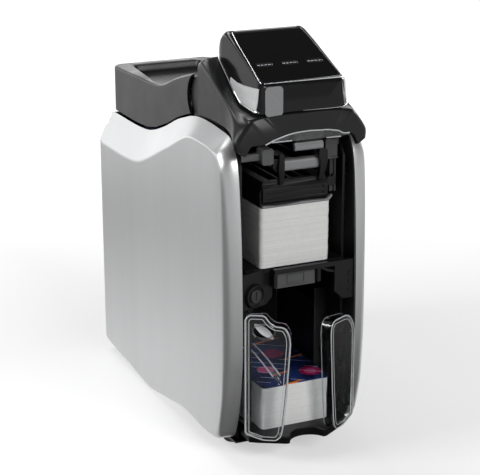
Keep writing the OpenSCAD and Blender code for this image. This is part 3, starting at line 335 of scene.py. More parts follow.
class Graph:
    """Writes one material's nodes in few words; materials with the same name are made once."""

    def __init__(self, name: str) -> None:
        """Starts an empty principled material called name."""
        self.material = bpy.data.materials.new(name)
        self.material.use_nodes = True
        self.tree = self.material.node_tree
        self.shader = self.tree.nodes["Principled BSDF"]
        self.place = self.node("TexCoord").outputs["Object"]

    def node(self, kind: str, settings: dict | None = None, **sockets: object) -> bpy.types.Node:
        """Adds a node; a socket is named by its words, or by i and its number.

        Args:
            kind: node type without its prefix.
            settings: plain attributes.
            sockets: values or other nodes' outputs.

        Returns:
            The new node.
        """
        made = self.tree.nodes.new("ShaderNode" + kind)
        for key, value in (settings or {}).items():
            setattr(made, key, value)
        for key, value in sockets.items():
            number = key[0] == "i" and key[1:].isdigit()
            self.link(made.inputs[int(key[1:])] if number else made.inputs[key.replace("_", " ")], value)
        return made

    def link(self, socket: bpy.types.NodeSocket, value: object) -> None:
        """Links an output to a socket, or sets the socket's own value."""
        if isinstance(value, bpy.types.NodeSocket):
            self.tree.links.new(value, socket)
        else:
            socket.default_value = value

    def set(self, **sockets: object) -> None:
        """Sets sockets of the principled shader by their names."""
        for key, value in sockets.items():
            self.link(self.shader.inputs[key.replace("_", " ")], value)

    def math(self, operation: str, a: object, b: object = 0.0, clamp: bool = False) -> bpy.types.NodeSocket:
        """One math step on numbers or outputs."""
        return self.node("Math", {"operation": operation, "use_clamp": clamp}, i0=a, i1=b).outputs[0]

    def mix(self, share: object, a: object, b: object, how: str = "MIX") -> bpy.types.NodeSocket:
        """Mixes two colours by a share."""
        return self.node("MixRGB", {"blend_type": how}, i0=share, i1=a, i2=b).outputs[0]

    def scaled(self, scale: Triple, shift: Triple = (0, 0, 0), turn: float = 0.0) -> bpy.types.NodeSocket:
        """Object coordinates through a Mapping node: shifted, turned about Z, scaled."""
        made = self.node("Mapping", None, Vector=self.place, Scale=scale, Location=shift, Rotation=(0, 0, turn))
        return made.outputs[0]

    def noise(
        self, where: bpy.types.NodeSocket, scale: float, detail: float = 3.0, rough: float = 0.5
    ) -> bpy.types.NodeSocket:
        """Fractal noise between 0 and 1."""
        return self.node("TexNoise", None, Vector=where, Scale=scale, Detail=detail, Roughness=rough).outputs[0]

    def ramp(self, value: object, low: float, high: float, to_low: float, to_high: float) -> bpy.types.NodeSocket:
        """Maps low..high to to_low..to_high, held at the ends."""
        return self.node("MapRange", None, i0=value, i1=low, i2=high, i3=to_low, i4=to_high).outputs[0]

    def bump(self, height: bpy.types.NodeSocket, depth: float, strength: float = 1.0) -> None:
        """Raises the surface by height times depth millimetres."""
        out = self.node("Bump", None, Strength=strength, Distance=depth * MM, Height=height).outputs[0]
        self.set(Normal=out)


MADE: dict[str, bpy.types.Material] = {}


def rgba(colour: Colour) -> tuple[float, float, float, float]:
    """Adds full alpha to a colour."""
    return (*colour, 1.0)


def shade(colour: Colour, share: float) -> Colour:
    """Multiplies a colour by a share."""
    return tuple(min(1.0, c * share) for c in colour)


@dataclass(frozen=True)
class Finish:
    """A finish with a name; material() makes it once."""

    name: str

    def material(self) -> bpy.types.Material:
        """The finish as a material."""
        if self.name not in MADE:
            graph = Graph(self.name)
            self.dress(graph)
            MADE[self.name] = graph.material
        return MADE[self.name]

    def dress(self, graph: Graph) -> None:
        """Writes the finish's nodes."""
        raise NotImplementedError


@dataclass(frozen=True)
class Moulded(Finish):
    """Moulded plastic: fine spark-eroded grain, faint cloudy variation of colour and gloss, and
    rubbed patches that are a little smoother."""

    colour: Colour = (0.02, 0.02, 0.022)
    rough: float = 0.42
    grain: float = 0.35
    depth: float = 0.012
    specular: float = 0.5
    coat: float = 0.0

    def dress(self, graph: Graph) -> None:
        """Grain is noise at the grain's width; the clouds are noise some 40 mm wide."""
        cloud = graph.noise(graph.place, 45.0, 4.0, 0.6)
        speck = graph.noise(graph.place, 1.0 / (self.grain * MM), 2.0, 0.5)
        base = graph.mix(cloud, rgba(shade(self.colour, 0.86)), rgba(shade(self.colour, 1.16)))
        worn = graph.ramp(cloud, 0.35, 0.7, self.rough + 0.05, self.rough - 0.05)
        graph.set(Base_Color=base, Roughness=worn, Specular_IOR_Level=self.specular)
        if self.coat:
            graph.set(Coat_Weight=self.coat, Coat_Roughness=0.03)
        graph.bump(speck, self.depth)


@dataclass(frozen=True)
class SilverPanel(Finish):
    """Silver metallic lacquer over a brushed sheet: very fine upright strokes, small flakes and
    slow upright bands of tone."""

    colour: Colour = (0.52, 0.525, 0.53)
    rough: float = 0.34
    metal: float = 0.75

    def dress(self, graph: Graph) -> None:
        """Strokes are noise stretched a hundredfold along Z; bands are the same, 30 mm wide."""
        stroke = graph.noise(graph.scaled((1.0, 1.0, 0.012)), 2600.0, 3.0, 0.6)
        bands = graph.noise(graph.scaled((1.0, 1.0, 0.06)), 32.0, 2.0, 0.5)
        flake = graph.noise(graph.place, 3800.0, 1.0, 0.5)
        tone = graph.mix(bands, rgba(shade(self.colour, 0.9)), rgba(shade(self.colour, 1.08)))
        tone = graph.mix(graph.ramp(stroke, 0.3, 0.7, 0.0, 0.35), tone, rgba(shade(self.colour, 1.2)))
        rough = graph.ramp(flake, 0.3, 0.7, self.rough - 0.05, self.rough + 0.07)
        graph.set(Base_Color=tone, Metallic=self.metal, Roughness=rough)
        graph.bump(stroke, 0.006)


@dataclass(frozen=True)
class SheetSteel(Finish):
    """Plated or ground steel with fine strokes along one axis and faint stains."""

    colour: Colour = (0.5, 0.51, 0.52)
    rough: float = 0.32
    stretch: tuple[float, float, float] = (1.0, 0.03, 1.0)

    def dress(self, graph: Graph) -> None:
        """Strokes are noise squeezed along the stroke axis."""
        stroke = graph.noise(graph.scaled(self.stretch), 1800.0, 3.0, 0.55)
        stain = graph.noise(graph.place, 60.0, 4.0, 0.6)
        tone = graph.mix(stain, rgba(shade(self.colour, 0.82)), rgba(shade(self.colour, 1.1)))
        rough = graph.ramp(stroke, 0.3, 0.7, self.rough - 0.08, self.rough + 0.08)
        graph.set(Base_Color=tone, Metallic=1.0, Roughness=rough)
        graph.bump(stroke, 0.004)


@dataclass(frozen=True)
class BrightTrim(Finish):
    """Chromed trim: nearly a mirror with the orange-peel of plated plastic."""

    colour: Colour = (0.82, 0.83, 0.85)

    def dress(self, graph: Graph) -> None:
        """Orange peel is soft noise 2 mm wide."""
        peel = graph.noise(graph.place, 500.0, 2.0, 0.5)
        graph.set(Base_Color=rgba(self.colour), Metallic=1.0, Roughness=graph.ramp(peel, 0.3, 0.7, 0.08, 0.15))
        graph.bump(peel, 0.01)


@dataclass(frozen=True)
class GlossShell(Finish):
    """Polished black plastic under a clear coat with a very slight orange peel."""

    colour: Colour = (0.0035, 0.0035, 0.004)
    rough: float = 0.1
    specular: float = 0.22
    coat: float = 0.05

    def dress(self, graph: Graph) -> None:
        """Peel is soft noise some 6 mm wide, dust is sparse fine noise in the roughness."""
        peel = graph.noise(graph.place, 160.0, 2.0, 0.4)
        dust = graph.noise(graph.place, 2400.0, 2.0, 0.5)
        graph.set(Base_Color=graph.mix(dust, rgba(self.colour), rgba(shade(self.colour, 1.8))))
        rough = graph.ramp(dust, 0.45, 0.8, self.rough, self.rough + 0.08)
        graph.set(Roughness=rough, Specular_IOR_Level=self.specular)
        graph.set(Coat_Weight=self.coat, Coat_Roughness=0.04)
        graph.bump(peel, 0.01)


@dataclass(frozen=True)
class KeyTop(Finish):
    """Gloss black key with a thin row of pale dashes across its middle."""

    colour: Colour = (0.007, 0.007, 0.008)
    mark: Colour = (0.5, 0.52, 0.55)
    row_y: float = -101.17
    line_half: float = 0.34
    dash_pitch: float = 2.7
    dash_share: float = 0.66

    def dress(self, graph: Graph) -> None:
        """The marks lie where Y is within half a line of the row and X's rest is small."""
        axes = graph.node("SeparateXYZ", None, Vector=graph.place).outputs
        off = graph.math("ABSOLUTE", graph.math("SUBTRACT", axes["Y"], self.row_y * MM))
        line = graph.math("LESS_THAN", off, self.line_half * MM)
        rest = graph.math("FRACT", graph.math("DIVIDE", axes["X"], self.dash_pitch * MM))
        dash = graph.math("LESS_THAN", rest, self.dash_share)
        speck = graph.noise(graph.place, 1600.0, 2.0)
        graph.set(Base_Color=graph.mix(graph.math("MULTIPLY", line, dash), rgba(self.colour), rgba(self.mark)))
        graph.set(Roughness=graph.ramp(speck, 0.3, 0.7, 0.1, 0.2), Specular_IOR_Level=0.5)
        graph.bump(speck, 0.003)


@dataclass(frozen=True)
class ClearMoulding(Finish):
    """Clear moulded plastic, faintly smoky, with flow marks and a film of fine scratches."""

    colour: Colour = (0.93, 0.95, 0.96)

    def dress(self, graph: Graph) -> None:
        """Flow marks are noise stretched along Z; scratches are finer noise in the roughness."""
        flow = graph.noise(graph.scaled((1.0, 1.0, 0.15)), 180.0, 3.0, 0.5)
        fine = graph.noise(graph.place, 2200.0, 2.0, 0.5)
        graph.set(Base_Color=rgba(self.colour), Transmission_Weight=1.0, IOR=1.45, Specular_IOR_Level=0.15)
        graph.set(Roughness=graph.ramp(fine, 0.4, 0.8, 0.0, 0.04))
        graph.bump(flow, 0.008)


@dataclass(frozen=True)
class Rubber(Finish):
    """Dark moulded rubber with a dusty bloom."""

    colour: Colour = (0.018, 0.018, 0.019)

    def dress(self, graph: Graph) -> None:
        """Bloom is cloudy noise; the surface is finely pitted."""
        bloom = graph.noise(graph.place, 120.0, 4.0, 0.65)
        pits = graph.noise(graph.place, 2600.0, 2.0, 0.5)
        graph.set(Base_Color=graph.mix(bloom, rgba(self.colour), rgba(shade(self.colour, 2.2))))
        graph.set(Roughness=graph.ramp(bloom, 0.3, 0.7, 0.7, 0.9), Specular_IOR_Level=0.3)
        graph.bump(pits, 0.02)


@dataclass(frozen=True)
class CardStock(Finish):
    """White card laminate. Each card in a stack has its own faint tone, and painted shade darkens the top and bottom of
    each card's edge, where the cards meet."""

    colour: Colour = (0.82, 0.82, 0.81)
    pitch: float = 0.76
    start: float = 0.0

    def dress(self, graph: Graph) -> None:
        """The height over the first card divided by the pitch gives the card's number (its whole
        part) and the place across its edge (the rest)."""
        z = graph.node("SeparateXYZ", None, Vector=graph.place).outputs["Z"]
        level = graph.math("DIVIDE", graph.math("SUBTRACT", z, self.start * MM), self.pitch * MM)
        card = graph.math("FLOOR", level)
        across = graph.math("FRACT", level)
        tone = graph.node("TexWhiteNoise", {"noise_dimensions": "1D"}, W=card).outputs["Value"]
        # painted shade: darker toward the top and bottom of each card's edge, where the cards meet
        painted_gap_shade = graph.ramp(graph.math("ABSOLUTE", graph.math("SUBTRACT", across, 0.5)), 0.34, 0.5, 0.0, 0.55)
        smear = graph.noise(graph.scaled((1.0, 1.0, 0.4)), 260.0, 3.0, 0.6)
        colour = graph.mix(graph.ramp(tone, 0, 1, 0.0, 0.3), rgba(self.colour), rgba(shade(self.colour, 0.72)))
        colour = graph.mix(painted_gap_shade, colour, rgba(shade(self.colour, 0.5)))
        colour = graph.mix(graph.ramp(smear, 0.5, 0.75, 0.0, 0.14), colour, rgba(shade(self.colour, 0.7)))
        rough = graph.ramp(smear, 0.3, 0.7, 0.3, 0.42)
        graph.set(Base_Color=colour, Roughness=rough, Coat_Weight=0.15, Coat_Roughness=0.2)
        graph.bump(smear, 0.01)


@dataclass(frozen=True)
class CardPrint(Finish):
    """A plain sample print: a blue ground with discs and slanted bars in pink, crimson and
    orange, and thin pale rules."""

    ground: Colour = (0.022, 0.05, 0.2)
    deep: Colour = (0.012, 0.02, 0.09)
    discs: tuple = (
        ((18.0, 20.0), 8.0, (0.5, 0.01, 0.1)),
        ((18.0, 20.0), 4.6, (0.75, 0.12, 0.3)),
        ((-10.0, 36.0), 6.5, (0.6, 0.1, 0.28)),
        ((8.0, 62.0), 8.5, (0.3, 0.02, 0.12)),
    )

    def disc(self, graph: Graph, centre: tuple[float, float], radius: float) -> bpy.types.NodeSocket:
        """1 inside a disc on the card's face, 0 outside: the distance to its centre against its radius."""
        middle = tuple(place(np.array([centre[0], centre[1], 54.4])))
        away = graph.node("VectorMath", {"operation": "DISTANCE"}, i0=graph.place, i1=middle).outputs["Value"]
        return graph.math("LESS_THAN", away, radius * MM)

    def stripe(self, graph: Graph, turn: float, pitch: float, width: float, shift: float = 0.0) -> bpy.types.NodeSocket:
        """1 on slanted stripes: the turned X divided by the pitch leaves a rest below the width."""
        turned = graph.scaled((1.0, 1.0, 1.0), (shift * MM, 0, 0), turn)
        x = graph.node("SeparateXYZ", None, Vector=turned).outputs["X"]
        return graph.math("LESS_THAN", graph.math("FRACT", graph.math("DIVIDE", x, pitch * MM)), width)

    def dress(self, graph: Graph) -> None:
        """Lays bars, rules and discs over a ground that deepens in soft clouds."""
        cloud = graph.noise(graph.place, 70.0, 2.0, 0.4)
        colour = graph.mix(graph.ramp(cloud, 0.35, 0.65, 0, 1), rgba(self.ground), rgba(self.deep))
        gate = graph.math("GREATER_THAN", graph.noise(graph.place, 38.0, 1.0, 0.2), 0.52)
        bars = graph.math("MULTIPLY", self.stripe(graph, 1.35, 19.0, 0.13, 3.0), gate)
        colour = graph.mix(bars, colour, rgba((0.75, 0.2, 0.04)))
        for centre, radius, ink in self.discs:
            colour = graph.mix(self.disc(graph, centre, radius), colour, rgba(ink))
        shown = graph.math("LESS_THAN", graph.noise(graph.place, 55.0, 1.0, 0.2), 0.5)
        rules = graph.math("MULTIPLY", self.stripe(graph, -0.95, 9.0, 0.05), shown)
        colour = graph.mix(rules, colour, rgba((0.75, 0.78, 0.85)))
        rough = graph.ramp(cloud, 0.3, 0.7, 0.14, 0.22)
        graph.set(Base_Color=colour, Roughness=rough, Coat_Weight=0.6, Coat_Roughness=0.06)


@dataclass(frozen=True)
class CircuitBoard(Finish):
    """Green solder mask over traces: a grid of thin raised tracks, a shade lighter."""

    colour: Colour = (0.01, 0.09, 0.045)

    def dress(self, graph: Graph) -> None:
        """Tracks are the borders of square cells."""
        edges = {"feature": "DISTANCE_TO_EDGE"}
        cell = graph.node("TexVoronoi", edges, Vector=graph.place, Scale=260.0, Randomness=0.4)
        track = graph.ramp(cell.outputs[0], 0.03, 0.08, 1.0, 0.0)
        graph.set(Base_Color=graph.mix(track, rgba(self.colour), rgba(shade(self.colour, 2.2))), Roughness=0.3)
        graph.bump(track, 0.03)


class Look:
    """The finishes of this printer."""

    SILVER = SilverPanel("silver_panel")
    SHELL = Moulded("graphite_shell", (0.0085, 0.0087, 0.0095), 0.33, 0.3, 0.008, 0.3)
    COVER = Moulded("graphite_cover", (0.0125, 0.0128, 0.0138), 0.3, 0.3, 0.006, 0.35)
    BLACK = Moulded("black_moulding", (0.007, 0.007, 0.0078), 0.42, 0.35, 0.012, 0.3)
    INNER = Moulded("inner_black", (0.0045, 0.0045, 0.005), 0.34, 0.4, 0.01, 0.3)
    GREY = Moulded("mid_grey_moulding", (0.075, 0.076, 0.078), 0.36, 0.3, 0.01)
    DARK = Moulded("dark_grey_moulding", (0.03, 0.0305, 0.032), 0.3, 0.3, 0.008, 0.6)
    PALE = Moulded("pale_grey_moulding", (0.2, 0.203, 0.208), 0.32, 0.3, 0.01, 0.6)
    ACETAL = Moulded("cream_acetal", (0.7, 0.69, 0.64), 0.42, 0.3, 0.008)
    FILM = Moulded("ribbon_film", (0.05, 0.035, 0.09), 0.2, 0.3, 0.004)
    GLOSS = GlossShell("gloss_pod")
    # pale grey that stands in for the reflection low on the pod's glossy sides: a painted reflection
    SIDE_REFLECTION = Moulded("painted_side_reflection", (0.5, 0.505, 0.51), 0.3, 0.3, 0.004, 0.5)
    # grey gloss that stands in for the bright patch on the visor's left front: a painted reflection
    FRONT_REFLECTION = GlossShell("painted_front_reflection", (0.17, 0.172, 0.176), 0.14)
    KEYTOP = KeyTop("soft_key_top")
    SCREEN = GlossShell("display_glass_black", (0.002, 0.002, 0.0023), 0.06, 0.08, 0.0)
    CHROME = BrightTrim("bright_trim")
    CLEAR = ClearMoulding("clear_guard")
    # pale grey for beads and a leaf on the clear parts: painted highlights
    CLEAR_EDGE_HIGHLIGHT = Moulded("painted_clear_highlight", (0.5, 0.51, 0.52), 0.3, 0.4, 0.01, 0.6)
    RUBBER = Rubber("black_rubber")
    PAINTED = Moulded("black_painted_sheet", (0.007, 0.007, 0.0075), 0.38, 0.5, 0.012, 0.35)
    PLATE = SheetSteel("plated_sheet", (0.42, 0.43, 0.44), 0.34)
    GROUND = SheetSteel("ground_shaft", (0.6, 0.61, 0.62), 0.22, (0.03, 1.0, 1.0))
    BRASS = SheetSteel("brass_pinion", (0.62, 0.44, 0.18), 0.3, (0.05, 1.0, 1.0))
    BOARD = CircuitBoard("solder_mask")
    PRINT = CardPrint("sample_print")


def finish_piece(piece: bpy.types.Object, look: Finish, body: Body) -> bpy.types.Object:
    """Gives a piece its material and the body that it rides on.

    Args:
        piece: the new piece.
        look: its finish.
        body: the body it moves with.

    Returns:
        The same piece.
    """
    piece.data.materials.clear()
    piece.data.materials.append(look.material())
    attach(piece, body.value)
    LOG.info("%s: %d faces on %s", piece.name, len(piece.data.polygons), body.value)
    return piece


# ------------------------------------------------------------------ body


@dataclass
class SidePanels:
    """The two silver panels: a flat cheek, a quarter round down the front and a straight bevel
    along the top, both leaning in from a crease to the inner edge."""

    half_width: float = 55.7
    edge_x: float = 44.3
    wall: float = 2.4
    crest: float = 238.5
    rear_top: float = 205.5
    depth: float = 258.0
    soft: float = 0.07
    steps: int = 5

    def keys(self) -> Array:
        """Outer edge (d, z) and crease (d, z) at each key point, from the rear foot round the front."""
        c, r, e = self.crest, self.rear_top, self.depth
        return np.array([
            [e, 12, e - 3, 14], [e - 3, 8.4, e - 6, 11.4], [234, 6.3, 232, 9.3], [199, 4.2, 198, 7.2],
            [176, 2.2, 176, 5.2], [154, 1.2, 154, 4.2], [132, 4.6, 132, 7.6], [111, 7.8, 111, 10.8],
            [91, 11.3, 91, 14.3], [71, 11.5, 71, 14.5], [52, 10.4, 53, 13.6], [34, 11, 37, 14.6],
            [22, 13.7, 28, 18], [13.5, 20, 20, 25], [6.5, 42, 13.8, 47], [2.9, 64, 13, 66],
            [1, 91, 12.4, 92], [2.1, 153, 12.5, 153], [4.8, 192, 13, 190], [8, 215.5, 14.2, c - 28.7],
            [12.3, c - 12.5, 17, c - 20.7], [16.8, c - 6.5, 20.5, c - 15.7], [24, c - 2.7, 27, c - 13],
            [35, c - 1.5, 37, c - 11.5], [51.7, c - 0.3, 56, c - 11.2], [70.6, c, 70, c - 12.5],
            [86.6, c - 2, 86, c - 18.5], [99.5, r + 27.5, 103, r + 6.5], [116.5, r + 22, 120, r - 0.9],
            [140, r + 12, 140, r - 9.7], [162, r + 4.5, 163, r - 19.1], [180, r + 1, 178, r - 22.5],
            [205, r - 0.2, 198, r - 24.2], [230, r - 0.1, 225, r - 24.5], [e, r, e - 3, r - 24.5],
        ])

    def rings(self) -> list[tuple[Array, float]]:
        """Each outer ring and its X: first a soft turn over the crease, then on to the inner edge.

        Returns:
            (outline, x) pairs, from the flat cheek to the inner edge.
        """
        line = spline(self.keys(), self.steps)
        lean = self.half_width - self.edge_x
        front = np.clip(1 - (line[:, 0] - 10) / np.where(line[:, 1] > 120, 14, 12), 0, 1)
        rear = np.clip((line[:, 0] - self.depth + 8) / 6, 0, 1)
        high = line[:, 1] > 120
        turn = np.linspace(0, 1, 7)
        shares = np.concatenate([self.soft * (turn**2 - (1 - turn) ** 2), np.linspace(self.soft, 1, 15)[1:]])
        offs = np.concatenate([lean * self.soft * turn**2, lean * np.linspace(self.soft, 1, 15)[1:]])
        offs[6] = lean * self.soft
        made = []
        for share, off in zip(shares, offs):
            t = min(off / lean, 1.0)
            start = min(share, 0.0)
            quarter = math.sqrt(1 - (1 - t) ** 2) + start
            foot = math.sqrt(1 - (1 - min(off / 3, 1.0)) ** 2) + start
            mixed = front * quarter + (1 - front) * np.where(high, share, foot)
            s = rear * foot + (1 - rear) * mixed
            d = line[:, 2] + (line[:, 0] - line[:, 2]) * s
            z = line[:, 3] + (line[:, 1] - line[:, 3]) * mixed
            made.append((np.stack([d, z], 1), self.half_width - off))
        return made

    def shell(self, side: Side) -> tuple[Array, list]:
        """Lofts outer rings and their inset copies into a closed shell.

        Args:
            side: left or right.

        Returns:
            Millimetre vertices and faces.
        """
        rings = self.rings()
        rows = [np.column_stack([np.full(len(r), x), r]) for r, x in rings]
        inner_xs = (self.edge_x, self.edge_x + 3.0, self.half_width - 3.6, self.half_width - self.wall)
        for x, k in zip(inner_xs, (-1, -4, 9, 7)):
            ring = rings[k][0]
            rows.append(np.column_stack([np.full(len(ring), x), inset(ring, self.wall)]))
        points = np.array(rows)
        points[..., 0] *= side.value
        n = points.shape[1]
        half = (n - 1) // 2
        faces = grid_faces(len(rows), n, wrap=True).tolist()
        last = (len(rows) - 1) * n
        for base, flip in ((0, False), (last, True)):
            for j in range(half):
                face = [base + j, base + j + 1, base + n - 2 - j, base + n - 1 - j]
                if j == half - 1:
                    face = [base + j, base + n - 2 - j, base + n - 1 - j]
                faces.append(face[::-1] if flip else face)
        return points.reshape(-1, 3), faces

    def build(self) -> None:
        """Makes both panels."""
        for side in Side:
            name = side.name.lower()
            piece = solid(f"{name}_panel_shell", self.shell(side), 38)
            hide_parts(f"{name}_side_panel")
            finish_piece(piece, Look.SILVER, Body.PRINTER)


def vault(outer: Array, inner: Array) -> tuple[Array, list]:
    """A closed vault between outer and inner arches.

    Args:
        outer: (R, N, 3) arches front to back.
        inner: the same for the inside.

    Returns:
        Vertices and faces.
    """
    rows, n = outer.shape[:2]
    ring = np.concatenate([outer, inner[:, ::-1]], 1)
    faces = grid_faces(rows, 2 * n, wrap=True).tolist()
    k = np.arange(n - 1)
    front = np.stack([k, k + 1, 2 * n - 2 - k, 2 * n - 1 - k], 1)
    back = (front + (rows - 1) * 2 * n)[:, ::-1]
    return ring.reshape(-1, 3), faces + front.tolist() + back.tolist()


def arches(rows: Array, depths: Array) -> Array:
    """Mirrors half outlines (x, z) into full arches at their depths.

    Args:
        rows: (R, N, 2) halves from the foot to the middle.
        depths: (R,) depth of each.

    Returns:
        (R, 2N - 1, 3) arches from the left foot to the right.
    """
    x = np.concatenate([-rows[:, :, 0], rows[:, -2::-1, 0]], 1)
    z = np.concatenate([rows[:, :, 1], rows[:, -2::-1, 1]], 1)
    return np.stack([x, np.broadcast_to(depths[:, None], x.shape), z], -1)


@dataclass
class RearCover:
    """The dark cover behind the lid: upright sides, a rim that falls to the rear and a dished top."""

    side: float = 43.5
    wall: float = 2.2
    corner: float = 9.5
    depth: float = 258.0
    groove: float = 2.0
    notch_d: float = 79.7
    notch_z: float = 250.0
    notch_r: float = 18.3
    roll: float = 1.5
    fall: float = 4.5
    lug_xs: tuple = (-30.0, 22.0)
    band: tuple = ((60, 42), (120, 42), (150, 41.8), (165, 41), (185, 38.5), (210, 35), (245, 30), (258, 30))
    rim: tuple = ((60, 273), (85.6, 267.4), (107.5, 261.6), (123.6, 256.5), (138, 251), (150, 247.3), (162, 245.5),
                  (179, 244.6), (197, 244.4), (225, 243.6), (245, 243.2), (258, 243.2))
    dish: tuple = ((60, 270), (80, 262.6), (92, 257), (107, 251), (124, 245), (140, 241), (162, 239), (180, 238),
                   (200, 237.6), (225, 237.4), (242.5, 237.4), (245.5, 243.2), (258, 243.2))

    def halves(self, depths: Array, wall: float, tops: Array) -> Array:
        """Half outlines at depths: the upright side, a small quarter round on its top, a flat rim band
        and a fall into the dish. Over the fall the height is the rim's less the dish's depth times
        the smoothstep of the way in from the band's inner line.

        Args:
            depths: where to cut.
            wall: 0 for the outside, the wall for the inside.
            tops: (N, 2) the side panels' top edge.

        Returns:
            (R, N, 2) halves.
        """
        rim, dish, band = (spline(np.array(k, float), 6) for k in (self.rim, self.dish, self.band))
        e = (np.interp(depths, rim[:, 0], rim[:, 1]) - wall)[:, None]
        m = (np.interp(depths, dish[:, 0], dish[:, 1]) - wall)[:, None]
        inner = np.interp(depths, band[:, 0], band[:, 1])[:, None]
        low = (np.interp(depths, tops[:, 0], tops[:, 1]) + self.groove)[:, None]
        tail = np.clip(depths - self.depth + self.corner, 0, self.corner)
        h = (self.side - wall - self.corner + np.sqrt(np.maximum(self.corner**2 - tail**2, 0.01)))[:, None]
        up = np.linspace(0, 1, 9)[None, :]
        turn = np.linspace(0, math.pi / 2, 7)[None, 1:]
        r = self.roll
        across = (h - r) * (1 - np.linspace(0, 1, 56)[None, 1:])
        way = np.clip((np.minimum(inner, h - r) - across) / self.fall, 0, 1)
        x = np.concatenate([h + 0 * up, h - r + r * np.cos(turn), across], 1)
        fall = e - (e - m) * way**2 * (3 - 2 * way)
        z = np.concatenate([low + (e - r - low) * up, e - r + r * np.sin(turn), fall], 1)
        return np.stack([x, z], -1)

    def build(self, tops: Array) -> None:
        """Makes the cover, cuts its round front notch and its slots, and adds its hinge knuckles.

        Args:
            tops: the side panels' top edge.
        """
        depths = np.concatenate([np.linspace(74, 240, 90), np.linspace(241.5, 254.6, 16)])
        rear = np.array([254.8, 256.4, 257.5, 258.0])
        outer = arches(self.halves(np.concatenate([depths, rear]), 0, tops), np.concatenate([depths, rear]))
        outer[-1, :, 2] = np.minimum(outer[-1, :, 2], outer[-1, :, 2].max() - 0.8)
        inner = arches(self.halves(depths, self.wall, tops), depths)
        ends = outer[-4:]
        foot, far = ends[:, :1], ends[:, -1:]
        share = np.linspace(0, 1, outer.shape[1])[None, :, None]
        sill = foot + (far - foot) * share - [0, 0, 0.6]
        piece = solid("rear_cover_shell", vault(outer, np.concatenate([inner, sill])), 40)
        turn = np.linspace(0, 2 * math.pi, 160, endpoint=False)
        ring = np.stack([self.notch_d + self.notch_r * np.cos(turn), self.notch_z + self.notch_r * np.sin(turn)], 1)
        solids = [prism(ring, -60, 60), slab((-60, 60, 200), (60, 84.6, 290), 0.5, 0.1)]
        solids += [slab((x - 0.6, 252, 200), (x + 8.6, 262, 216.5), 0.6, 0.1) for x in self.lug_xs]
        cut_away(piece, solids)
        pin = merged_copy("cover_hinge_pin", ["cover_pin"], 0)
        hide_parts("rear_cover")
        finish_piece(piece, Look.COVER, Body.COVER)
        finish_piece(pin, Look.GROUND, Body.COVER)
        arc = np.linspace(math.pi, 2 * math.pi, 14)
        under = np.stack([249 + 3 * np.cos(arc), 215 + 3 * np.sin(arc)], 1)
        knuckle = np.concatenate([under, [[255.6, 215.2], [255.6, 218], [248, 218]]])
        parts = [prism(knuckle, *sorted((side.value * 31, side.value * 40)), ease=0.3) for side in Side]
        finish_piece(solid("cover_hinge_knuckles", join(parts)), Look.INNER, Body.COVER)


def cut_away(piece: bpy.types.Object, shapes: list[tuple[Array, list]]) -> None:
    """Takes closed millimetre shapes out of a piece.

    Args:
        piece: the piece to cut.
        shapes: (vertices, faces) of each solid that is taken out.
    """
    cutters = [solid(f"{piece.name}_cutter_{k}", shape) for k, shape in enumerate(shapes)]
    for cutter in cutters:
        cut = piece.modifiers.new("cut", "BOOLEAN")
        cut.operation = "DIFFERENCE"
        cut.solver = "MANIFOLD"
        cut.object = cutter
    evaluated = piece.evaluated_get(bpy.context.evaluated_depsgraph_get())
    mesh = bpy.data.meshes.new_from_object(evaluated)
    piece.modifiers.clear()
    piece.data = mesh
    mesh.shade_smooth()
    mesh.set_sharp_from_angle(angle=math.radians(38))
    for cutter in cutters:
        bpy.data.objects.remove(cutter)


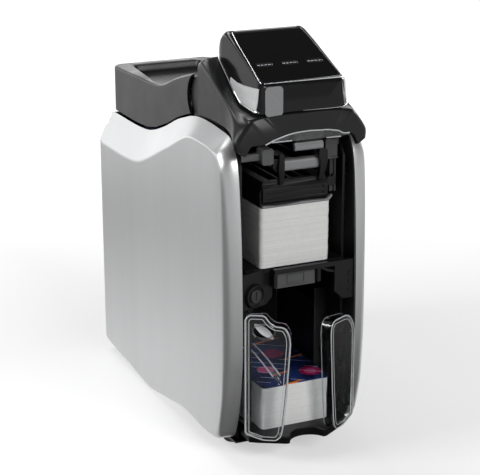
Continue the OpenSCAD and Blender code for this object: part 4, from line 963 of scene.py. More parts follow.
@dataclass
class Lid:
    """The hinged lid: two cheeks that fall to the front, a low bridge between them, a nose that
    flares over the panels and ends in two ears, and an arched lip."""

    wall: float = 2.0
    rows: tuple = (
        (-1, ((46.6, 229.4), (47.2, 234.6), (43, 242), (38.6, 247.4), (35.4, 250.4), (20, 252.4), (0, 252.4))),
        (0.6, ((48.9, 230.2), (49, 236), (44.6, 243.4), (40.4, 248.4), (36.4, 251.6), (20, 253.2), (0, 253.2))),
        (4, ((50, 232), (49.8, 238), (45.4, 245), (41, 249.4), (37.2, 252), (20, 253.5), (0, 253.5))),
        (13, ((47.2, 238.2), (47, 244), (45, 249.6), (41, 251.6), (36, 253), (20, 253.8), (0, 253.8))),
        (27, ((44.2, 239.6), (44.2, 248), (43.8, 255.4), (41, 256.4), (36, 255), (20, 254.5), (0, 254.5))),
        (40, ((43.7, 240.4), (43.8, 251), (43.5, 261), (41, 262.2), (36, 261), (20, 260), (0, 260))),
        (56, ((43.5, 240.4), (43.6, 256), (43.4, 268.6), (41, 270.6), (36, 270.4), (20, 270), (0, 270))),
        (72, ((43.5, 239.6), (43.5, 258), (43.3, 274), (41, 278), (36, 279.6), (20, 280), (0, 280))),
        (78.5, ((43.5, 239.2), (43.5, 258), (43.3, 273), (41, 276.6), (36, 278.4), (20, 279), (0, 279))),
    )
    draw: float = 4.2
    shoulder: float = 2.6
    lip: tuple = ((42.5, 226.6), (40.6, 230.6), (38, 233.2), (30, 233.6), (24, 236.2), (12, 239.6), (0, 240.4))

    def inner(self, depth: float, half: Array) -> Array:
        """The inside of a row: the lip near the front, else the row moved in by the wall.

        Args:
            depth: the row's depth.
            half: its outer half outline.

        Returns:
            The inner half outline.
        """
        if depth < 5:
            return np.array(self.lip, float)
        s = np.gradient(half, axis=0)
        moved = half + self.wall * np.stack([-s[:, 1], s[:, 0]], 1) / np.linalg.norm(s, axis=1, keepdims=True)
        moved[0], moved[-1] = half[0] - [self.wall, 0], half[-1] - [0, self.wall]
        return moved

    def drawn(self, arc: Array) -> Array:
        """Draws the lip's arch to the right: X grows by draw times the square of one less the
        squared share of the half width, and a low swell lifts its right shoulder.

        Args:
            arc: (..., 3) arch points.

        Returns:
            The moved points; the front ones move fully, those 6 mm behind the lip not at all.
        """
        x, d, z = arc[..., 0], arc[..., 1], arc[..., 2]
        front = np.clip(1 - (d - 0.6) / 6, 0, 1)
        share = np.clip(1 - (x / self.lip[0][0]) ** 2, 0, 1) ** 2
        swell = np.clip((x - 10) / 16, 0, 1) * np.clip((41 - x) / 6, 0, 1)
        return np.stack([x + self.draw * share * front, d, z + self.shoulder * swell * front], -1)

    def rim(self) -> None:
        """The clear strip under the lip: a thin plate between the arch and a level lower edge, with a bead along each;
        the beads are pale grey, painted highlights along the strip's edges."""
        half = spline(np.array(self.lip, float), 8)
        arc = self.drawn(arches(half[None], np.array([-0.4]))[0])
        arc = arc[(arc[:, 0] > -28.5) & (arc[:, 0] < 36)]
        top = np.stack([arc[:, 0], arc[:, 2] - 0.75], 1)
        low = np.stack([top[:, 0], np.minimum(234.0, top[:, 1] - 0.4)], 1)
        piece = solid("lip_clear_rim", prism(np.concatenate([top, low[::-1]]), -1.1, -0.1, axis=1))
        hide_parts("lip_rim")
        finish_piece(piece, Look.CLEAR, Body.LID)
        beads = [tube(np.stack([top[:, 0], np.full(len(top), -0.9), top[:, 1] + 0.2], 1), 0.5)]
        for a, b in ((-23.5, -8.5), (18.0, 29.0)):
            t = np.linspace(a, b, 20)
            beads.append(tube(np.stack([t, 0 * t - 0.8, 234.2 - 0.02 * (t + 8)], 1), 0.45))
        finish_piece(solid("lip_rim_beads", join(beads), 60), Look.CLEAR_EDGE_HIGHLIGHT, Body.LID)

    def build(self) -> None:
        """Makes the shell from splines through the rows, and dresses what rides with it."""
        depths = np.array([r[0] for r in self.rows], float)
        outer = np.array([spline(np.array(r[1], float), 8) for r in self.rows])
        inner = np.array([spline(self.inner(r[0], np.array(r[1], float)), 8) for r in self.rows])
        fine = spline(np.column_stack([depths, outer.reshape(len(depths), -1)]), 7)
        fine_in = spline(np.column_stack([depths, inner.reshape(len(depths), -1)]), 7)
        n = outer.shape[1]
        outside, inside = (arches(f[:, 1:].reshape(-1, n, 2), f[:, 0]) for f in (fine, fine_in))
        shell = solid("lid_outer_shell", vault(outside, self.drawn(inside)), 50)
        bevel = shell.modifiers.new("eased_edges", "BEVEL")
        bevel.width, bevel.segments, bevel.limit_method, bevel.angle_limit = 0.35 * MM, 2, "ANGLE", math.radians(55)
        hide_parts("lid_shell")
        finish_piece(shell, Look.SHELL, Body.LID)
        finish_piece(merged_copy("lid_hinge_arms", ["lid_arms"], 0.3), Look.INNER, Body.LID)
        self.rim()
        finish_piece(merged_copy("latch_guide", ["latch_block"], 0.3), Look.INNER, Body.LID)


@dataclass
class DisplayPod:
    """The glossy display pod on the lid: a wedge whose far corners sweep round in quarter ellipses,
    with a bevelled face, a cover glass and bright lines."""

    half: float = 31.5
    face_d: float = 1.0
    face_z: float = 274.3
    slope: float = math.atan((300.0 - 274.3) / 57.0)
    far: float = 77.5
    sweep: tuple = (7.0, 14.0)
    cant: tuple = ((-1, 0.8, 0.8), (10, 1.4, 1.0), (26, 2.4, 1.4), (44, 3.0, 2.0), (57, 4.4, 3.2),
                   (67, 5.0, 4.2), (78, 4.0, 4.0))
    nose: float = 5.0
    roof: tuple = ((-0.4, 271.2), (0.3, 273.4), (2.2, 274.9), (57, 299.6), (60, 300.35),
                   (62.5, 300.2), (65, 299), (68, 296.6), (77.5, 282.8))
    sill: tuple = ((-0.4, 254.2), (13, 254.8), (27, 255.8), (40, 261.4), (56, 271.3),
                   (72, 281.0), (77.5, 282.0))
    flare: tuple = ((252, 34.9), (263, 32.7), (276, 31.5), (310, 30.3))
    key_s: float = 21.2
    key_pitch: float = 19.0
    key_half: tuple = (6.25, 2.45)
    reflection_at: tuple = (-21.6, 262.2)
    reflection_half: tuple = (6.6, 10.2)
    reflection_corner: float = 3.0

    def on_face(self, x: Array, s: Array, lift: Array = 0.0) -> Array:
        """Points on the sloped face: x, the distance s up the slope and the height over it."""
        x, s, lift = np.broadcast_arrays(np.asarray(x, float), np.asarray(s, float), np.asarray(lift, float))
        d = self.face_d + s * math.cos(self.slope) - lift * math.sin(self.slope)
        z = self.face_z + s * math.sin(self.slope) + lift * math.cos(self.slope)
        return np.stack([x, d, z], -1)

    def reach(self, d: Array) -> Array:
        """Half width of the plan at a depth: a small quarter circle at the nose, straight sides,
        then a quarter ellipse."""
        a, b = self.sweep
        nose = self.half - self.nose + np.sqrt(np.maximum(self.nose**2 - (self.nose - (d + 0.4)).clip(0) ** 2, 0))
        tail = self.half - a + a * np.sqrt(np.maximum(1 - ((d - self.far + b) / b).clip(0) ** 2, 0))
        return np.minimum(nose, tail)

    def canted(self, d: Array) -> tuple[Array, Array]:
        """Width and drop of the canted edge between face and side, which grows to the rear."""
        at, wide, drop = np.array(self.cant, float).T
        return np.interp(d, at, wide), np.interp(d, at, drop)

    def rows(self, depths: Array, wall: float) -> Array:
        """Half outlines: up the flared side, over the canted edge (a quarter ellipse), in across
        the roof.

        Args:
            depths: where to cut.
            wall: 0 outside, the wall's thickness inside.

        Returns:
            (R, N, 2) halves.
        """
        roof = np.interp(depths, *np.array(self.roof, float).T)[:, None] - wall
        sill = np.interp(depths, *np.array(self.sill, float).T)[:, None]
        roof = np.maximum(roof, sill + 0.5)
        share = (self.reach(depths) / self.half)[:, None]
        wide, drop = self.canted(depths)
        drop = np.minimum(drop[:, None], (roof - sill) * 0.7)
        z = sill + (roof - drop - sill) * np.linspace(0, 1, 14)[None, :]
        x = np.interp(z, *np.array(self.flare, float).T) * share - wall
        turn = np.linspace(0.12, math.pi / 2, 9)[None, :]
        top = x[:, -1:] - wide[:, None]
        across = top * (1 - np.linspace(0, 1, 20)[None, 1:])
        return np.stack([np.concatenate([x, top + wide[:, None] * np.cos(turn), across], 1),
                         np.concatenate([z, roof - drop + drop * np.sin(turn), roof + 0 * across], 1)], -1)

    def bed(self, shrink: float, low: float, high: float) -> tuple[Array, list]:
        """A prism on the face with the face's outline, drawn in from the plan by shrink.

        Args:
            shrink: distance in from the pod's plan.
            low: lowest lift.
            high: highest lift.

        Returns:
            Millimetre vertices and faces.
        """
        start, end, corner = shrink - 0.4, 62.4 - shrink, 3.0
        near, far = np.linspace(start, start + corner, 8), np.linspace(end - corner, end, 8)
        s = np.concatenate([near, np.linspace(start + 4, end - 4, 22), far])
        d = self.face_d + s * math.cos(self.slope)
        x = self.reach(d) - np.maximum(shrink, self.canted(d)[0] + 0.4)
        near = np.minimum(s - start, end - s).clip(0, corner)
        x = np.minimum(x, self.half - shrink) - corner + np.sqrt(np.maximum(corner**2 - (corner - near) ** 2, 0))
        ring = np.concatenate([np.stack([x, s], 1), np.stack([-x, s], 1)[::-1]])
        points = np.concatenate([self.on_face(ring[:, 0], ring[:, 1], lift) for lift in (low, high)])
        return points, capped_faces(2, len(ring))

    def well(self, x: tuple, s: tuple, lift: tuple) -> tuple[Array, list]:
        """A box on the face between two X, two distances up the slope and two lifts."""
        points = self.on_face([x[0], x[1], x[1], x[0]] * 2, [s[0], s[0], s[1], s[1]] * 2, np.repeat(lift, 4))
        return points, BOX_FACES

    def shell(self) -> None:
        """Makes the pod's hollow body and cuts the glass's bed and the display's well."""
        nose = -0.4 + np.array([0, 0.15, 0.5, 1, 1.7, 2.6, 3.6, 5])
        depths = np.concatenate([nose, np.linspace(6, 56, 40), np.linspace(57, 76.9, 40), [77.2, 77.45]])
        outer, inner = self.rows(depths, 0.0), self.rows(depths, 2.3)
        ends = (depths < 2.4) | (depths > 72)
        shut_x = outer[ends, :1, 0] * (1 - np.linspace(0, 1, outer.shape[1]))[None, :]
        inner[ends] = np.stack([shut_x, np.broadcast_to(outer[ends, :1, 1], shut_x.shape)], -1)
        inner[ends, :, 1] += 0.02
        piece = solid("display_pod_shell", vault(arches(outer, depths), arches(inner, depths)), 40)
        cut_away(piece, [self.bed(2.75, -2.0, 4.0), self.well((-26, 26), (12, 54.5), (-8.0, 4.0))])
        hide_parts("display_pod")
        finish_piece(piece, Look.GLOSS, Body.LID)

    def glass(self) -> None:
        """Makes the cover glass with its three key wells."""
        piece = solid("display_cover_glass", self.bed(3.0, -2.0, -0.15), 40)
        wide, long = self.key_half
        slope = (self.key_s - long, self.key_s + long)
        middles = [k * self.key_pitch for k in (-1, 0, 1)]
        cut_away(piece, [self.well((x - wide, x + wide), slope, (-4.0, 3.0)) for x in middles])
        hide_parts("display_glass")
        finish_piece(piece, Look.SCREEN, Body.LID)

    def side_reflection_strips(self) -> None:
        """A painted reflection low on each side, in pale grey: a grid over depth and height that follows the flared
        side, up to a third of a millimetre proud, between the bright trim and a falling upper line."""
        d = np.linspace(2.5, 47, 40)[:, None]
        low = np.interp(d, *np.array(self.sill, float).T) + 1.9
        high = np.interp(d, [0, 12, 24, 36, 47], [271.2, 270.2, 269.4, 269.4, 271.0])
        v = np.linspace(0, 1, 12)[None, :]
        z = low + (np.maximum(high, low + 0.3) - low) * v
        x = np.interp(z, *np.array(self.flare, float).T) * (self.reach(d) / self.half)
        proud = 0.05 + 0.3 * np.sin(math.pi * v.clip(0.06, 0.94)) ** 0.5
        parts = []
        for side in Side:
            outer = np.stack([side.value * (x + proud), d + 0 * z, z], -1)
            inner = np.stack([side.value * (x - 0.4), d + 0 * z, z], -1)
            ring = np.concatenate([outer, inner[:, ::-1]], 1)
            parts.append((ring.reshape(-1, 3), capped_faces(*ring.shape[:2])))
        finish_piece(solid("pod_side_painted_reflections", join(parts), 60), Look.SIDE_REFLECTION, Body.LID)

    def lines(self) -> None:
        """Bright lines: two up the face's sides, one across the far edge and one along the nose
        that grows towards the right and runs on down the corner."""
        d = np.linspace(1.5, 57, 50)
        top = np.interp(d, *np.array(self.roof, float).T)
        wide, drop = self.canted(d)
        edge = np.interp(top - drop, *np.array(self.flare, float).T) * self.reach(d) / self.half - wide
        t = np.linspace(0, 1, 50)
        nose = self.on_face(-28.5 + 58.6 * t, 0.35 + 0.4 * t**2, -0.1 * t)
        down = spline(np.array([
            [29.9, -0.5, 273.8], [30.9, -0.6, 271.5], [31.5, -0.6, 267], [32.2, -0.6, 261], [33.0, -0.4, 256.5],
        ]), 8)
        foot = spline(np.array([
            [0, -0.5, 254.3], [10, -0.5, 254.1], [22, -0.5, 254.0], [30, -0.4, 254.2], [33.2, 0, 255.4],
            [34.2, 0.8, 257.6],
        ]), 8)
        far = np.linspace(-1, 1, 40)
        beads = [tube(np.stack([-edge, d, top], 1), 0.38), tube(np.stack([edge, d, top], 1), 0.3),
                 tube(nose, 0.35 + 0.85 * t**1.6), tube(down, np.linspace(1.25, 0.5, len(down))),
                 tube(foot, np.linspace(0.15, 0.6, len(foot))), self.far_band(far)]
        finish_piece(solid("pod_bright_lines", join(beads), 60), Look.CHROME, Body.LID)

    def far_band(self, far: Array) -> tuple[Array, list]:
        """A bright band over the roof's far edge: the roof's line from just before the crest to
        just behind it, lifted a fifth of a millimetre, carried across the width."""
        at = np.array([57.2, 58.5, 60, 61.5, 62.6, 63.4])
        top = np.interp(at, *np.array(self.roof, float).T)
        ring = np.concatenate([np.stack([at, top + 0.05], 1), np.stack([at, top - 0.5], 1)[::-1]])
        ring[0, 1] -= 0.2
        half = 25.5 - 1.2 * np.abs(ring[:, 0] - 60)
        x, d, z = np.broadcast_arrays(far[:, None] * half[None, :], ring[:, 0], ring[:, 1])
        return np.stack([x, d, z], -1).reshape(-1, 3), capped_faces(len(far), len(ring))

    def trim(self) -> None:
        """A bright bead along each side's foot: it runs a millimetre over the sill, as far out as
        the flared side at that height."""
        d = np.linspace(0.5, 73.5, 60)
        z = np.interp(d, *np.array(self.sill, float).T) + 1.1
        x = np.interp(z, *np.array(self.flare, float).T) * self.reach(d) / self.half + 0.1
        beads = [tube(np.stack([side.value * x, d, z], 1), 0.7) for side in Side]
        piece = solid("pod_side_trim", join(beads), 60)
        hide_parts("pod_trim")
        finish_piece(piece, Look.CHROME, Body.LID)

    def front_reflection_patch(self) -> None:
        """A painted reflection in the visor's left front: an opaque grey gloss patch with round corners."""
        half = np.array(self.reflection_half) - self.reflection_corner
        ring = np.array(self.reflection_at) + rounded_rectangle(half, self.reflection_corner, 7)
        shape = prism(ring, -0.75, -0.1, axis=1, ease=0.2)
        finish_piece(solid("visor_painted_reflection", shape), Look.FRONT_REFLECTION, Body.LID)

    def build(self) -> None:
        """Makes the pod's pieces."""
        self.shell()
        self.glass()
        self.side_reflection_strips()
        self.lines()
        self.front_reflection_patch()
        self.trim()


# ------------------------------------------------------------------ cards


@dataclass
class CardStack:
    """A stack of separate cards, each a thin round-cornered slab, dealt slightly out of line."""

    name: str
    node: str
    front: float
    bottom: float
    count: int
    seed: int
    width: float = 54.0
    length: float = 85.6
    thick: float = 0.76
    corner: float = 3.18

    def outline(self) -> Array:
        """The card's outline: four quarter circles joined by straight edges."""
        half = np.array([self.width / 2, self.length / 2]) - self.corner
        return rounded_rectangle(half, self.corner, 6) + [0, self.front + self.length / 2]

    def build(self) -> None:
        """Stacks count cards; card k is shifted by a slow random walk and a little of its own."""
        rng = np.random.default_rng(self.seed)
        ring = self.outline()
        walk = np.cumsum(rng.normal(0, 0.06, (self.count, 2)), 0)
        walk -= walk.mean(0)
        shift = np.clip(walk + rng.normal(0, 0.07, (self.count, 2)), -0.34, 0.34)
        levels = self.bottom + self.thick * np.arange(self.count)[:, None] + np.array([0.02, 0.08, 0.68, 0.74])
        draw = np.array([0.07, 0.0, 0.0, 0.07])
        centre = ring.mean(0)
        flat = centre + (ring - centre)[None, None] * (1 - draw[None, :, None, None] / 27.0) + shift[:, None, None, :]
        z = np.broadcast_to(levels[:, :, None, None], (*flat.shape[:3], 1))
        points = np.concatenate([flat, z], -1)
        cards = [(card.reshape(-1, 3), capped_faces(4, len(ring))) for card in points]
        piece = solid(self.name, join(cards), 50)
        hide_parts(self.node)
        stock = CardStock(f"{self.name}_laminate", start=self.bottom)
        finish_piece(piece, stock, Body.PRINTER)


@dataclass
class Guard:
    """A clear guard in front of the output cards: a slanted plate whose free edge turns back in a
    flange, with a tongue along the side frame."""

    side: Side
    line: tuple
    tongue_z: float
    hole: bool = False
    outer_x: float = 43.0
    turn: float = math.atan(16.0 / 27.0)
    thick: float = 2.0
    flange: float = 6.5
    rim: float = 1.5
    grip: tuple = (13.4, 101.6)
    grip_half: tuple = (7.4, 5.0)

    def to_frame(self, u: Array, depth: Array, z: Array) -> Array:
        """From the guard's plane to the frame: u runs inwards from the outer edge, depth behind it."""
        u, depth, z = np.broadcast_arrays(u, depth, z)
        c, s = math.cos(self.turn), math.sin(self.turn)
        x = -self.outer_x + u * c + depth * s
        d = 1.0 - u * s + depth * c
        return np.stack([-self.side.value * x if self.side is Side.RIGHT else x, d, z], -1)

    def outline(self) -> Array:
        """The plate's outline with its corners rounded: each corner point is replaced by a
        quadratic curve between points 2 mm before and after it."""
        ring = np.array(self.line, float)
        before, after = np.roll(ring, 1, 0) - ring, np.roll(ring, -1, 0) - ring
        to_before, to_after = (np.linalg.norm(way, axis=1, keepdims=True) for way in (before, after))
        cut = np.minimum(2.2, 0.45 * np.minimum(to_before, to_after))
        a = ring + before / to_before * cut
        b = ring + after / to_after * cut
        t = np.linspace(0, 1, 5)[None, :, None]
        return ((1 - t) ** 2 * a[:, None] + 2 * t * (1 - t) * ring[:, None] + t**2 * b[:, None]).reshape(-1, 2)

    def loop(self, ring: Array, depth: Array) -> Array:
        """A ring of the outline at a depth, in the frame."""
        return self.to_frame(ring[:, 0], depth, ring[:, 1])

    def build(self) -> None:
        """Makes the plate with its flange as one ring section carried round the outline."""
        ring = self.outline()
        area = np.sum(ring[:, 0] * np.roll(ring[:, 1], -1) - np.roll(ring[:, 0], -1) * ring[:, 1])
        sign = -1.0 if area > 0 else 1.0
        way = ((ring[:, 0] - 9) / 9).clip(0, 1)
        back = 1.0 + 0.9 + (self.flange - 0.9) * way**2 * (3 - 2 * way)
        eased, inner, deep = (inset(ring, sign * w) for w in (0.45, self.rim + 0.25, self.rim))
        half = self.thick / 2
        rows = [self.loop(line, at) for line, at in (
            (eased, -half), (ring, -half + 0.4), (ring, back - 0.3), (eased, back),
            (inset(ring, sign * (self.rim - 0.3)), back), (deep, back - 0.3), (inner, half),
        )]
        name = self.side.name.lower()
        piece = solid(f"{name}_guard_plate", (np.concatenate(rows), capped_faces(len(rows), len(ring))), 35)
        if self.hole:
            turn = np.linspace(0, 2 * math.pi, 48, endpoint=False)
            oval = np.array(self.grip) + np.stack([np.cos(turn), np.sin(turn)], 1) * self.grip_half
            cut = np.concatenate([self.loop(oval, -6.0), self.loop(oval, 8.0)])
            cut_away(piece, [(cut, capped_faces(2, len(oval)))])
        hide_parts(f"{name}_guard")
        finish_piece(piece, Look.CLEAR, Body.PRINTER)
        # painted highlights: pale grey beads along the clear plate's edges
        beads = []
        for draw, depth, radius in ((0.5, -0.9, 0.42), (0.7, None, 0.38), (self.rim + 1.6, -1.0, 0.26)):
            loop = inset(ring, sign * draw)
            at = np.full(len(ring), depth) if depth is not None else back
            beads.append(tube(self.loop(np.concatenate([loop, loop[:1]]), np.concatenate([at, at[:1]])), radius, 8))
        edge = solid(f"{name}_guard_edge_beads", join(beads), 60)
        finish_piece(edge, Look.CLEAR_EDGE_HIGHLIGHT, Body.PRINTER)
        x0, x1 = sorted((self.side.value * (self.outer_x - 0.4), self.side.value * 36.8))
        tongue = np.array([[2.6, 30], [24, 30], [24, self.tongue_z - 6], [20, self.tongue_z], [2.6, self.tongue_z]])
        blade = solid(f"{name}_guard_tongue", prism(tongue, x0, x1, ease=0.4))
        finish_piece(blade, Look.CLEAR, Body.PRINTER)
        if self.hole:
            self.grip_rim(oval)
            self.arm()

    def grip_rim(self, oval: Array) -> None:
        """A pale grey leaf-shaped dish, a painted highlight, that half fills the finger hole and is held by its rim."""
        turn = np.linspace(0, 2 * math.pi, 49)
        (at_u, at_z), (half_u, half_z) = self.grip, self.grip_half
        path = self.to_frame(at_u + (half_u + 0.35) * np.cos(turn), 1.0, at_z + (half_z + 0.35) * np.sin(turn))
        finish_piece(solid("grip_rim_bead", tube(path, 0.55)), Look.CLEAR, Body.PRINTER)
        lean = math.radians(-38)
        u, v = 8.6 * np.cos(turn[:-1]), 2.9 * np.sin(turn[:-1]) * (1 - 0.35 * np.cos(turn[:-1]) ** 2)
        c, s = math.cos(lean), math.sin(lean)
        leaf = np.stack([at_u + u * c - v * s, at_z + u * s + v * c], 1)
        middle = leaf.mean(0)
        levels = ((0.02, 1.9), (0.6, 1.7), (0.93, 1.05), (1.0, 1.3), (0.9, 2.1), (0.02, 2.7))
        rows = [self.loop(middle + (leaf - middle) * share, depth) for share, depth in levels]
        dish = solid("grip_leaf", (np.concatenate(rows), capped_faces(len(rows), len(leaf))))
        finish_piece(dish, Look.CLEAR_EDGE_HIGHLIGHT, Body.PRINTER)

    def arm(self) -> None:
        """A clear arm that leans back over the cards from the guard, with a pale grey bead down each edge as a painted
        highlight.
        """
        root, tip = np.array([-23.0, -9.0, 68.0]), np.array([-30.5, 19.0, 83.0])
        t = np.linspace(0, 1, 16)[:, None]
        middle = root + (tip - root) * t + np.array([0, 0, 1.2]) * np.sin(math.pi * t)
        beads = join([tube(middle + [dx, 0, 0.5], 0.55) for dx in (-2.8, 2.8)])
        finish_piece(solid("guard_arm_beads", beads, 60), Look.CLEAR_EDGE_HIGHLIGHT, Body.PRINTER)
        section = ([-2.6, 0, -0.4], [2.6, 0, -0.4], [2.6, 0, 0.4], [-2.6, 0, 0.4])
        strip = np.stack([middle + corner for corner in section], 1)
        foot = np.array([[-23.5, -9.0, 68.0], [-22.2, -10.2, 66.5], [-21.0, -10.8, 63.0]])
        parts = [(strip.reshape(-1, 3), capped_faces(*strip.shape[:2])), tube(spline(foot, 6), 1.1)]
        finish_piece(solid("left_guard_arm", join(parts)), Look.CLEAR, Body.PRINTER)


# ------------------------------------------------------------------ inside


@dataclass
class Interior:
    """Dresses the CAD nodes of the card bays, the drive and the base."""

    eased: dict = field(default_factory=lambda: {
        "input_hopper": (Look.INNER, "body_black", Body.PRINTER, 0.4),
        "front_bezel": (Look.SHELL, "lid_graphite", Body.PRINTER, 0.4),
        "output_tray": (Look.INNER, "body_black", Body.PRINTER, 0.5),
        "guide_rail": (Look.DARK, "mech_grey", Body.PRINTER, 0.25),
        "card_sensor": (Look.GREY, "light_grey", Body.PRINTER, 0.35),
        "lock_housing": (Look.BLACK, "body_black", Body.PRINTER, 0.3),
        "lock_plug": (Look.DARK, "light_grey", Body.LOCK, 0.25),
        "feed_flap": (Look.GREY, "mech_grey", Body.FLAP, 0.25),
        "card_weight": (Look.INNER, "body_black", Body.WEIGHT, 0.35),
        "weight_handle": (Look.PALE, "light_grey", Body.WEIGHT, 0.3),
        "hinge_beam": (Look.INNER, "body_black", Body.PRINTER, 0.3),
        "base_pan": (Look.BLACK, "body_black", Body.PRINTER, 0.4),
        "rear_panel": (Look.BLACK, "body_black", Body.PRINTER, 0.4),
        "rear_ports": (Look.PLATE, "port_metal", Body.PRINTER, 0.2),
        "left_frame": (Look.PAINTED, "frame_steel", Body.PRINTER, 0.15),
        "right_frame": (Look.PAINTED, "frame_steel", Body.PRINTER, 0.15),
        "rubber_feet": (Look.RUBBER, "rubber_black", Body.PRINTER, 0.4),
        "panel_screws": (Look.GROUND, "screw_steel", Body.PRINTER, 0.12),
        "card_track": (Look.BLACK, "body_black", Body.PRINTER, 0.3),
        "head_bracket": (Look.PLATE, "frame_steel", Body.HEAD, 0.15),
        "printhead": (Look.PALE, "light_grey", Body.HEAD, 0.3),
    })
    plain: dict = field(default_factory=lambda: {
        "main_board": Look.BOARD, "display_board": Look.BOARD, "drive_motor": Look.PLATE,
        "lid_latch": Look.PALE, "left_key": Look.KEYTOP, "middle_key": Look.KEYTOP, "right_key": Look.KEYTOP,
        "pick_roller": Look.RUBBER, "feed_roller": Look.RUBBER, "platen_roller": Look.RUBBER,
        "pick_shaft": Look.GROUND, "feed_shaft": Look.GROUND, "platen_shaft": Look.GROUND,
        "pick_gear": Look.ACETAL, "feed_gear": Look.ACETAL, "platen_gear": Look.ACETAL,
        "pick_idler": Look.ACETAL, "feed_idler": Look.ACETAL, "motor_pinion": Look.BRASS,
        "supply_spool": Look.ACETAL, "takeup_spool": Look.ACETAL,
        "supply_ribbon": Look.FILM, "takeup_ribbon": Look.FILM, "printed_card": Look.PRINT,
    })

    def build(self) -> None:
        """Eases and dresses each node."""
        for node, (look, slot, body, ease) in self.eased.items():
            finish_piece(merged_copy(f"{node}_eased", [node], ease), look, body)
        for node, look in self.plain.items():
            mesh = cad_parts[node].data
            mesh.materials.clear()
            mesh.materials.append(look.material())
            LOG.info("%s dressed", node)


# ------------------------------------------------------------------ studio


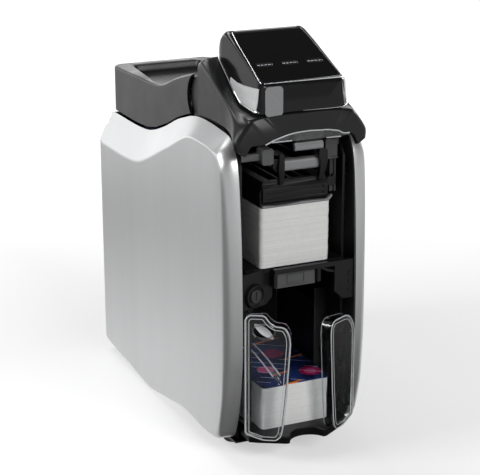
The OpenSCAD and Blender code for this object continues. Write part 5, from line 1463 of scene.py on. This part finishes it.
@dataclass
class Studio:
    """Camera, floor and lamps."""

    camera_at: tuple = (-456.7, -900.44, 483.62)
    azimuth: float = 24.98
    elevation: float = 17.48
    lens: float = 114.83
    shift: tuple = (-0.0266, -0.0044)
    floor_size: float = 6.0
    ambient: float = 0.1
    ceiling: float = 0.12
    lamps: tuple = (
        ("key_softbox", (0.35, -1.9, 1.15), (0, 0, 0.14), (0.9, 0.9), 26),
        ("left_softbox", (-1.6, 0.1, 1.0), (0, 0.05, 0.2), (0.8, 0.7), 19),
        ("top_softbox", (-0.25, 0.9, 1.5), (0, 0, 0.2), (0.9, 0.5), 9),
    )

    def camera(self) -> None:
        """Sets up the camera that was solved from the photograph."""
        data = bpy.data.cameras.new("photo_camera")
        data.lens, data.sensor_width, data.sensor_fit = self.lens, 36.0, "HORIZONTAL"
        data.shift_x, data.shift_y = self.shift
        data.clip_start, data.clip_end = 0.05, 20
        camera = bpy.data.objects.new("photo_camera", data)
        camera.location = place(np.array(self.camera_at))
        camera.rotation_euler = (math.radians(90 - self.elevation), 0, math.radians(-self.azimuth))
        bpy.context.scene.collection.objects.link(camera)
        bpy.context.scene.camera = camera

    def lamp(self, name: str, at: tuple, to: tuple, size: tuple, power: float) -> None:
        """Adds an area lamp.

        Args:
            name: its name.
            at: where, metres.
            to: the point it faces.
            size: width and height, metres.
            power: watts.
        """
        data = bpy.data.lights.new(name, "AREA")
        data.shape, data.size, data.size_y, data.energy = "RECTANGLE", size[0], size[1], power
        lamp = bpy.data.objects.new(name, data)
        lamp.location = at
        lamp.rotation_euler = (Vector(to) - Vector(at)).to_track_quat("-Z", "Y").to_euler()
        bpy.context.scene.collection.objects.link(lamp)

    def floor(self) -> None:
        """A pale floor that goes to white for the camera but keeps the shadow. In reflections it glows instead with
        painted reflection tones, by distance and bearing: dark in front of the printer and in a wedge to its left,
        bright behind it."""
        half = self.floor_size / 2
        corners = [[x * half, y * half, -0.0003] for x, y in ((-1, -1), (1, -1), (1, 1), (-1, 1))]
        floor = make_mesh("studio_floor", np.array(corners), [[0, 1, 2, 3]], outward=False)
        graph = Graph("studio_floor")
        graph.set(Base_Color=(0.52, 0.52, 0.52, 1), Roughness=0.9, Specular_IOR_Level=0.1)
        rays = graph.node("LightPath").outputs
        away = graph.node("VectorMath", {"operation": "LENGTH"}, i0=graph.place).outputs["Value"]
        seen = graph.math("MAXIMUM", rays["Is Camera Ray"], rays["Is Transmission Ray"])
        lift = graph.math("MULTIPLY", seen, graph.ramp(away, 0.2, 1.1, 0.5, 0.95))
        glow = graph.node("Emission", None, Color=(1, 1, 1, 1), Strength=lift)
        both = graph.node("AddShader", None, i0=graph.shader.outputs[0], i1=glow.outputs[0])
        # painted reflection: in gloss the floor glows, dark in front of the printer and in a wedge to its left, bright
        # behind it
        axes = graph.node("SeparateXYZ", None, Vector=graph.place).outputs
        to_y, to_x = graph.math("SUBTRACT", -0.1, axes["Y"]), graph.math("SUBTRACT", -0.05, axes["X"])
        bearing = graph.math("ARCTAN2", to_y, to_x)
        flag = graph.ramp(graph.math("ABSOLUTE", graph.math("ADD", bearing, 0.05)), 0.34, 0.62, 0.02, 1.0)
        front = graph.math("MULTIPLY", graph.ramp(away, 0.16, 1.0, 0.03, 0.85), flag)
        behind = graph.ramp(bearing, -0.85, -0.45, 1.0, 0.0)
        rear = graph.math("MULTIPLY", graph.ramp(away, 0.15, 0.7, 1.0, 0.3), behind)
        painted_reflection_glow = graph.node("Emission", None, Color=(1, 1, 1, 1), Strength=graph.math("MAXIMUM", front, rear))
        shown = graph.node("MixShader", None, i0=rays["Is Glossy Ray"], i1=both.outputs[0], i2=painted_reflection_glow.outputs[0])
        graph.link(graph.tree.nodes["Material Output"].inputs["Surface"], shown.outputs[0])
        floor.data.materials.append(graph.material)

    def sky(self) -> None:
        """White for the camera and through clear parts. Gloss sees the same white near the horizon,
        going to a dim ceiling above it and brighter towards the rear, and plain rays get a dim grey."""
        world = bpy.data.worlds.new("studio_world")
        bpy.context.scene.world = world
        world.use_nodes = True
        tree = world.node_tree
        back = tree.nodes["Background"]

        def step(kind: str, settings: dict, *inputs: object) -> bpy.types.NodeSocket:
            """One node of the sky; its first output."""
            made = tree.nodes.new("ShaderNode" + kind)
            for key, value in settings.items():
                setattr(made, key, value)
            for socket, value in zip(made.inputs, inputs):
                if isinstance(value, bpy.types.NodeSocket):
                    tree.links.new(value, socket)
                else:
                    socket.default_value = value
            return made.outputs[0]

        rays = tree.nodes.new("ShaderNodeLightPath").outputs
        height = tree.nodes.new("ShaderNodeSeparateXYZ")
        tree.links.new(tree.nodes.new("ShaderNodeTexCoord").outputs["Generated"], height.inputs[0])
        seen = step("Math", {"operation": "MAXIMUM"}, rays["Is Camera Ray"], rays["Is Transmission Ray"])
        gloss = step("MapRange", {}, height.outputs["Z"], 0.12, 0.36, 0.55, self.ceiling)
        rearward = step("MapRange", {}, height.outputs["Y"], 0.3, 0.7, 1.0, 3.6)
        gloss = step("Math", {"operation": "MULTIPLY"}, gloss, rearward)
        gloss = step("Math", {"operation": "MULTIPLY"}, gloss, rays["Is Glossy Ray"])
        lit = step("Math", {"operation": "MAXIMUM"}, seen, gloss)
        level = step("Math", {"operation": "MAXIMUM"}, lit, self.ambient)
        tree.links.new(level, back.inputs["Strength"])
        back.inputs["Color"].default_value = (1, 1, 1, 1)

    def build(self) -> None:
        """Builds the studio."""
        self.camera()
        self.floor()
        self.sky()
        for lamp in self.lamps:
            self.lamp(*lamp)
        bpy.context.scene.view_settings.view_transform = "Standard"


def main() -> None:
    """Builds every sub-assembly in order."""
    logging.basicConfig(level=logging.INFO, format="%(name)s %(message)s")
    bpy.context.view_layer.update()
    Studio().build()
    panels = SidePanels()
    panels.build()
    keys = panels.keys()
    RearCover().build(keys[keys[:, 1] > 120][:, :2])
    Lid().build()
    DisplayPod().build()
    CardStack("input_card_stack", "input_cards", 9.5, 142.0, 57, 11).build()
    CardStack("output_card_stack", "output_cards", 6.0, 21.7, 42, 5).build()
    span = math.hypot(16.0, 27.0)
    foot = ((0, 24), (13, 19.6), (22.9, 19.6), (26.4, 23.5), (27.6, 30), (30, 55), (span + 1.2, 94))
    left_head = ((span + 0.4, 100), (29, 105), (26, 106.2), (21.5, 106.4), (17.5, 109.4), (15.2, 113),
                 (13, 114.3), (3, 114.3), (0, 111))
    right_head = ((span + 0.6, 101), (29.6, 104), (27, 105), (12, 104.4), (7.6, 102.6), (3.4, 98), (0, 91))
    Guard(Side.LEFT, (*foot, *left_head), 104, True).build()
    Guard(Side.RIGHT, (*foot, *right_head), 86).build()
    Interior().build()


if __name__ == "__main__":
    main()
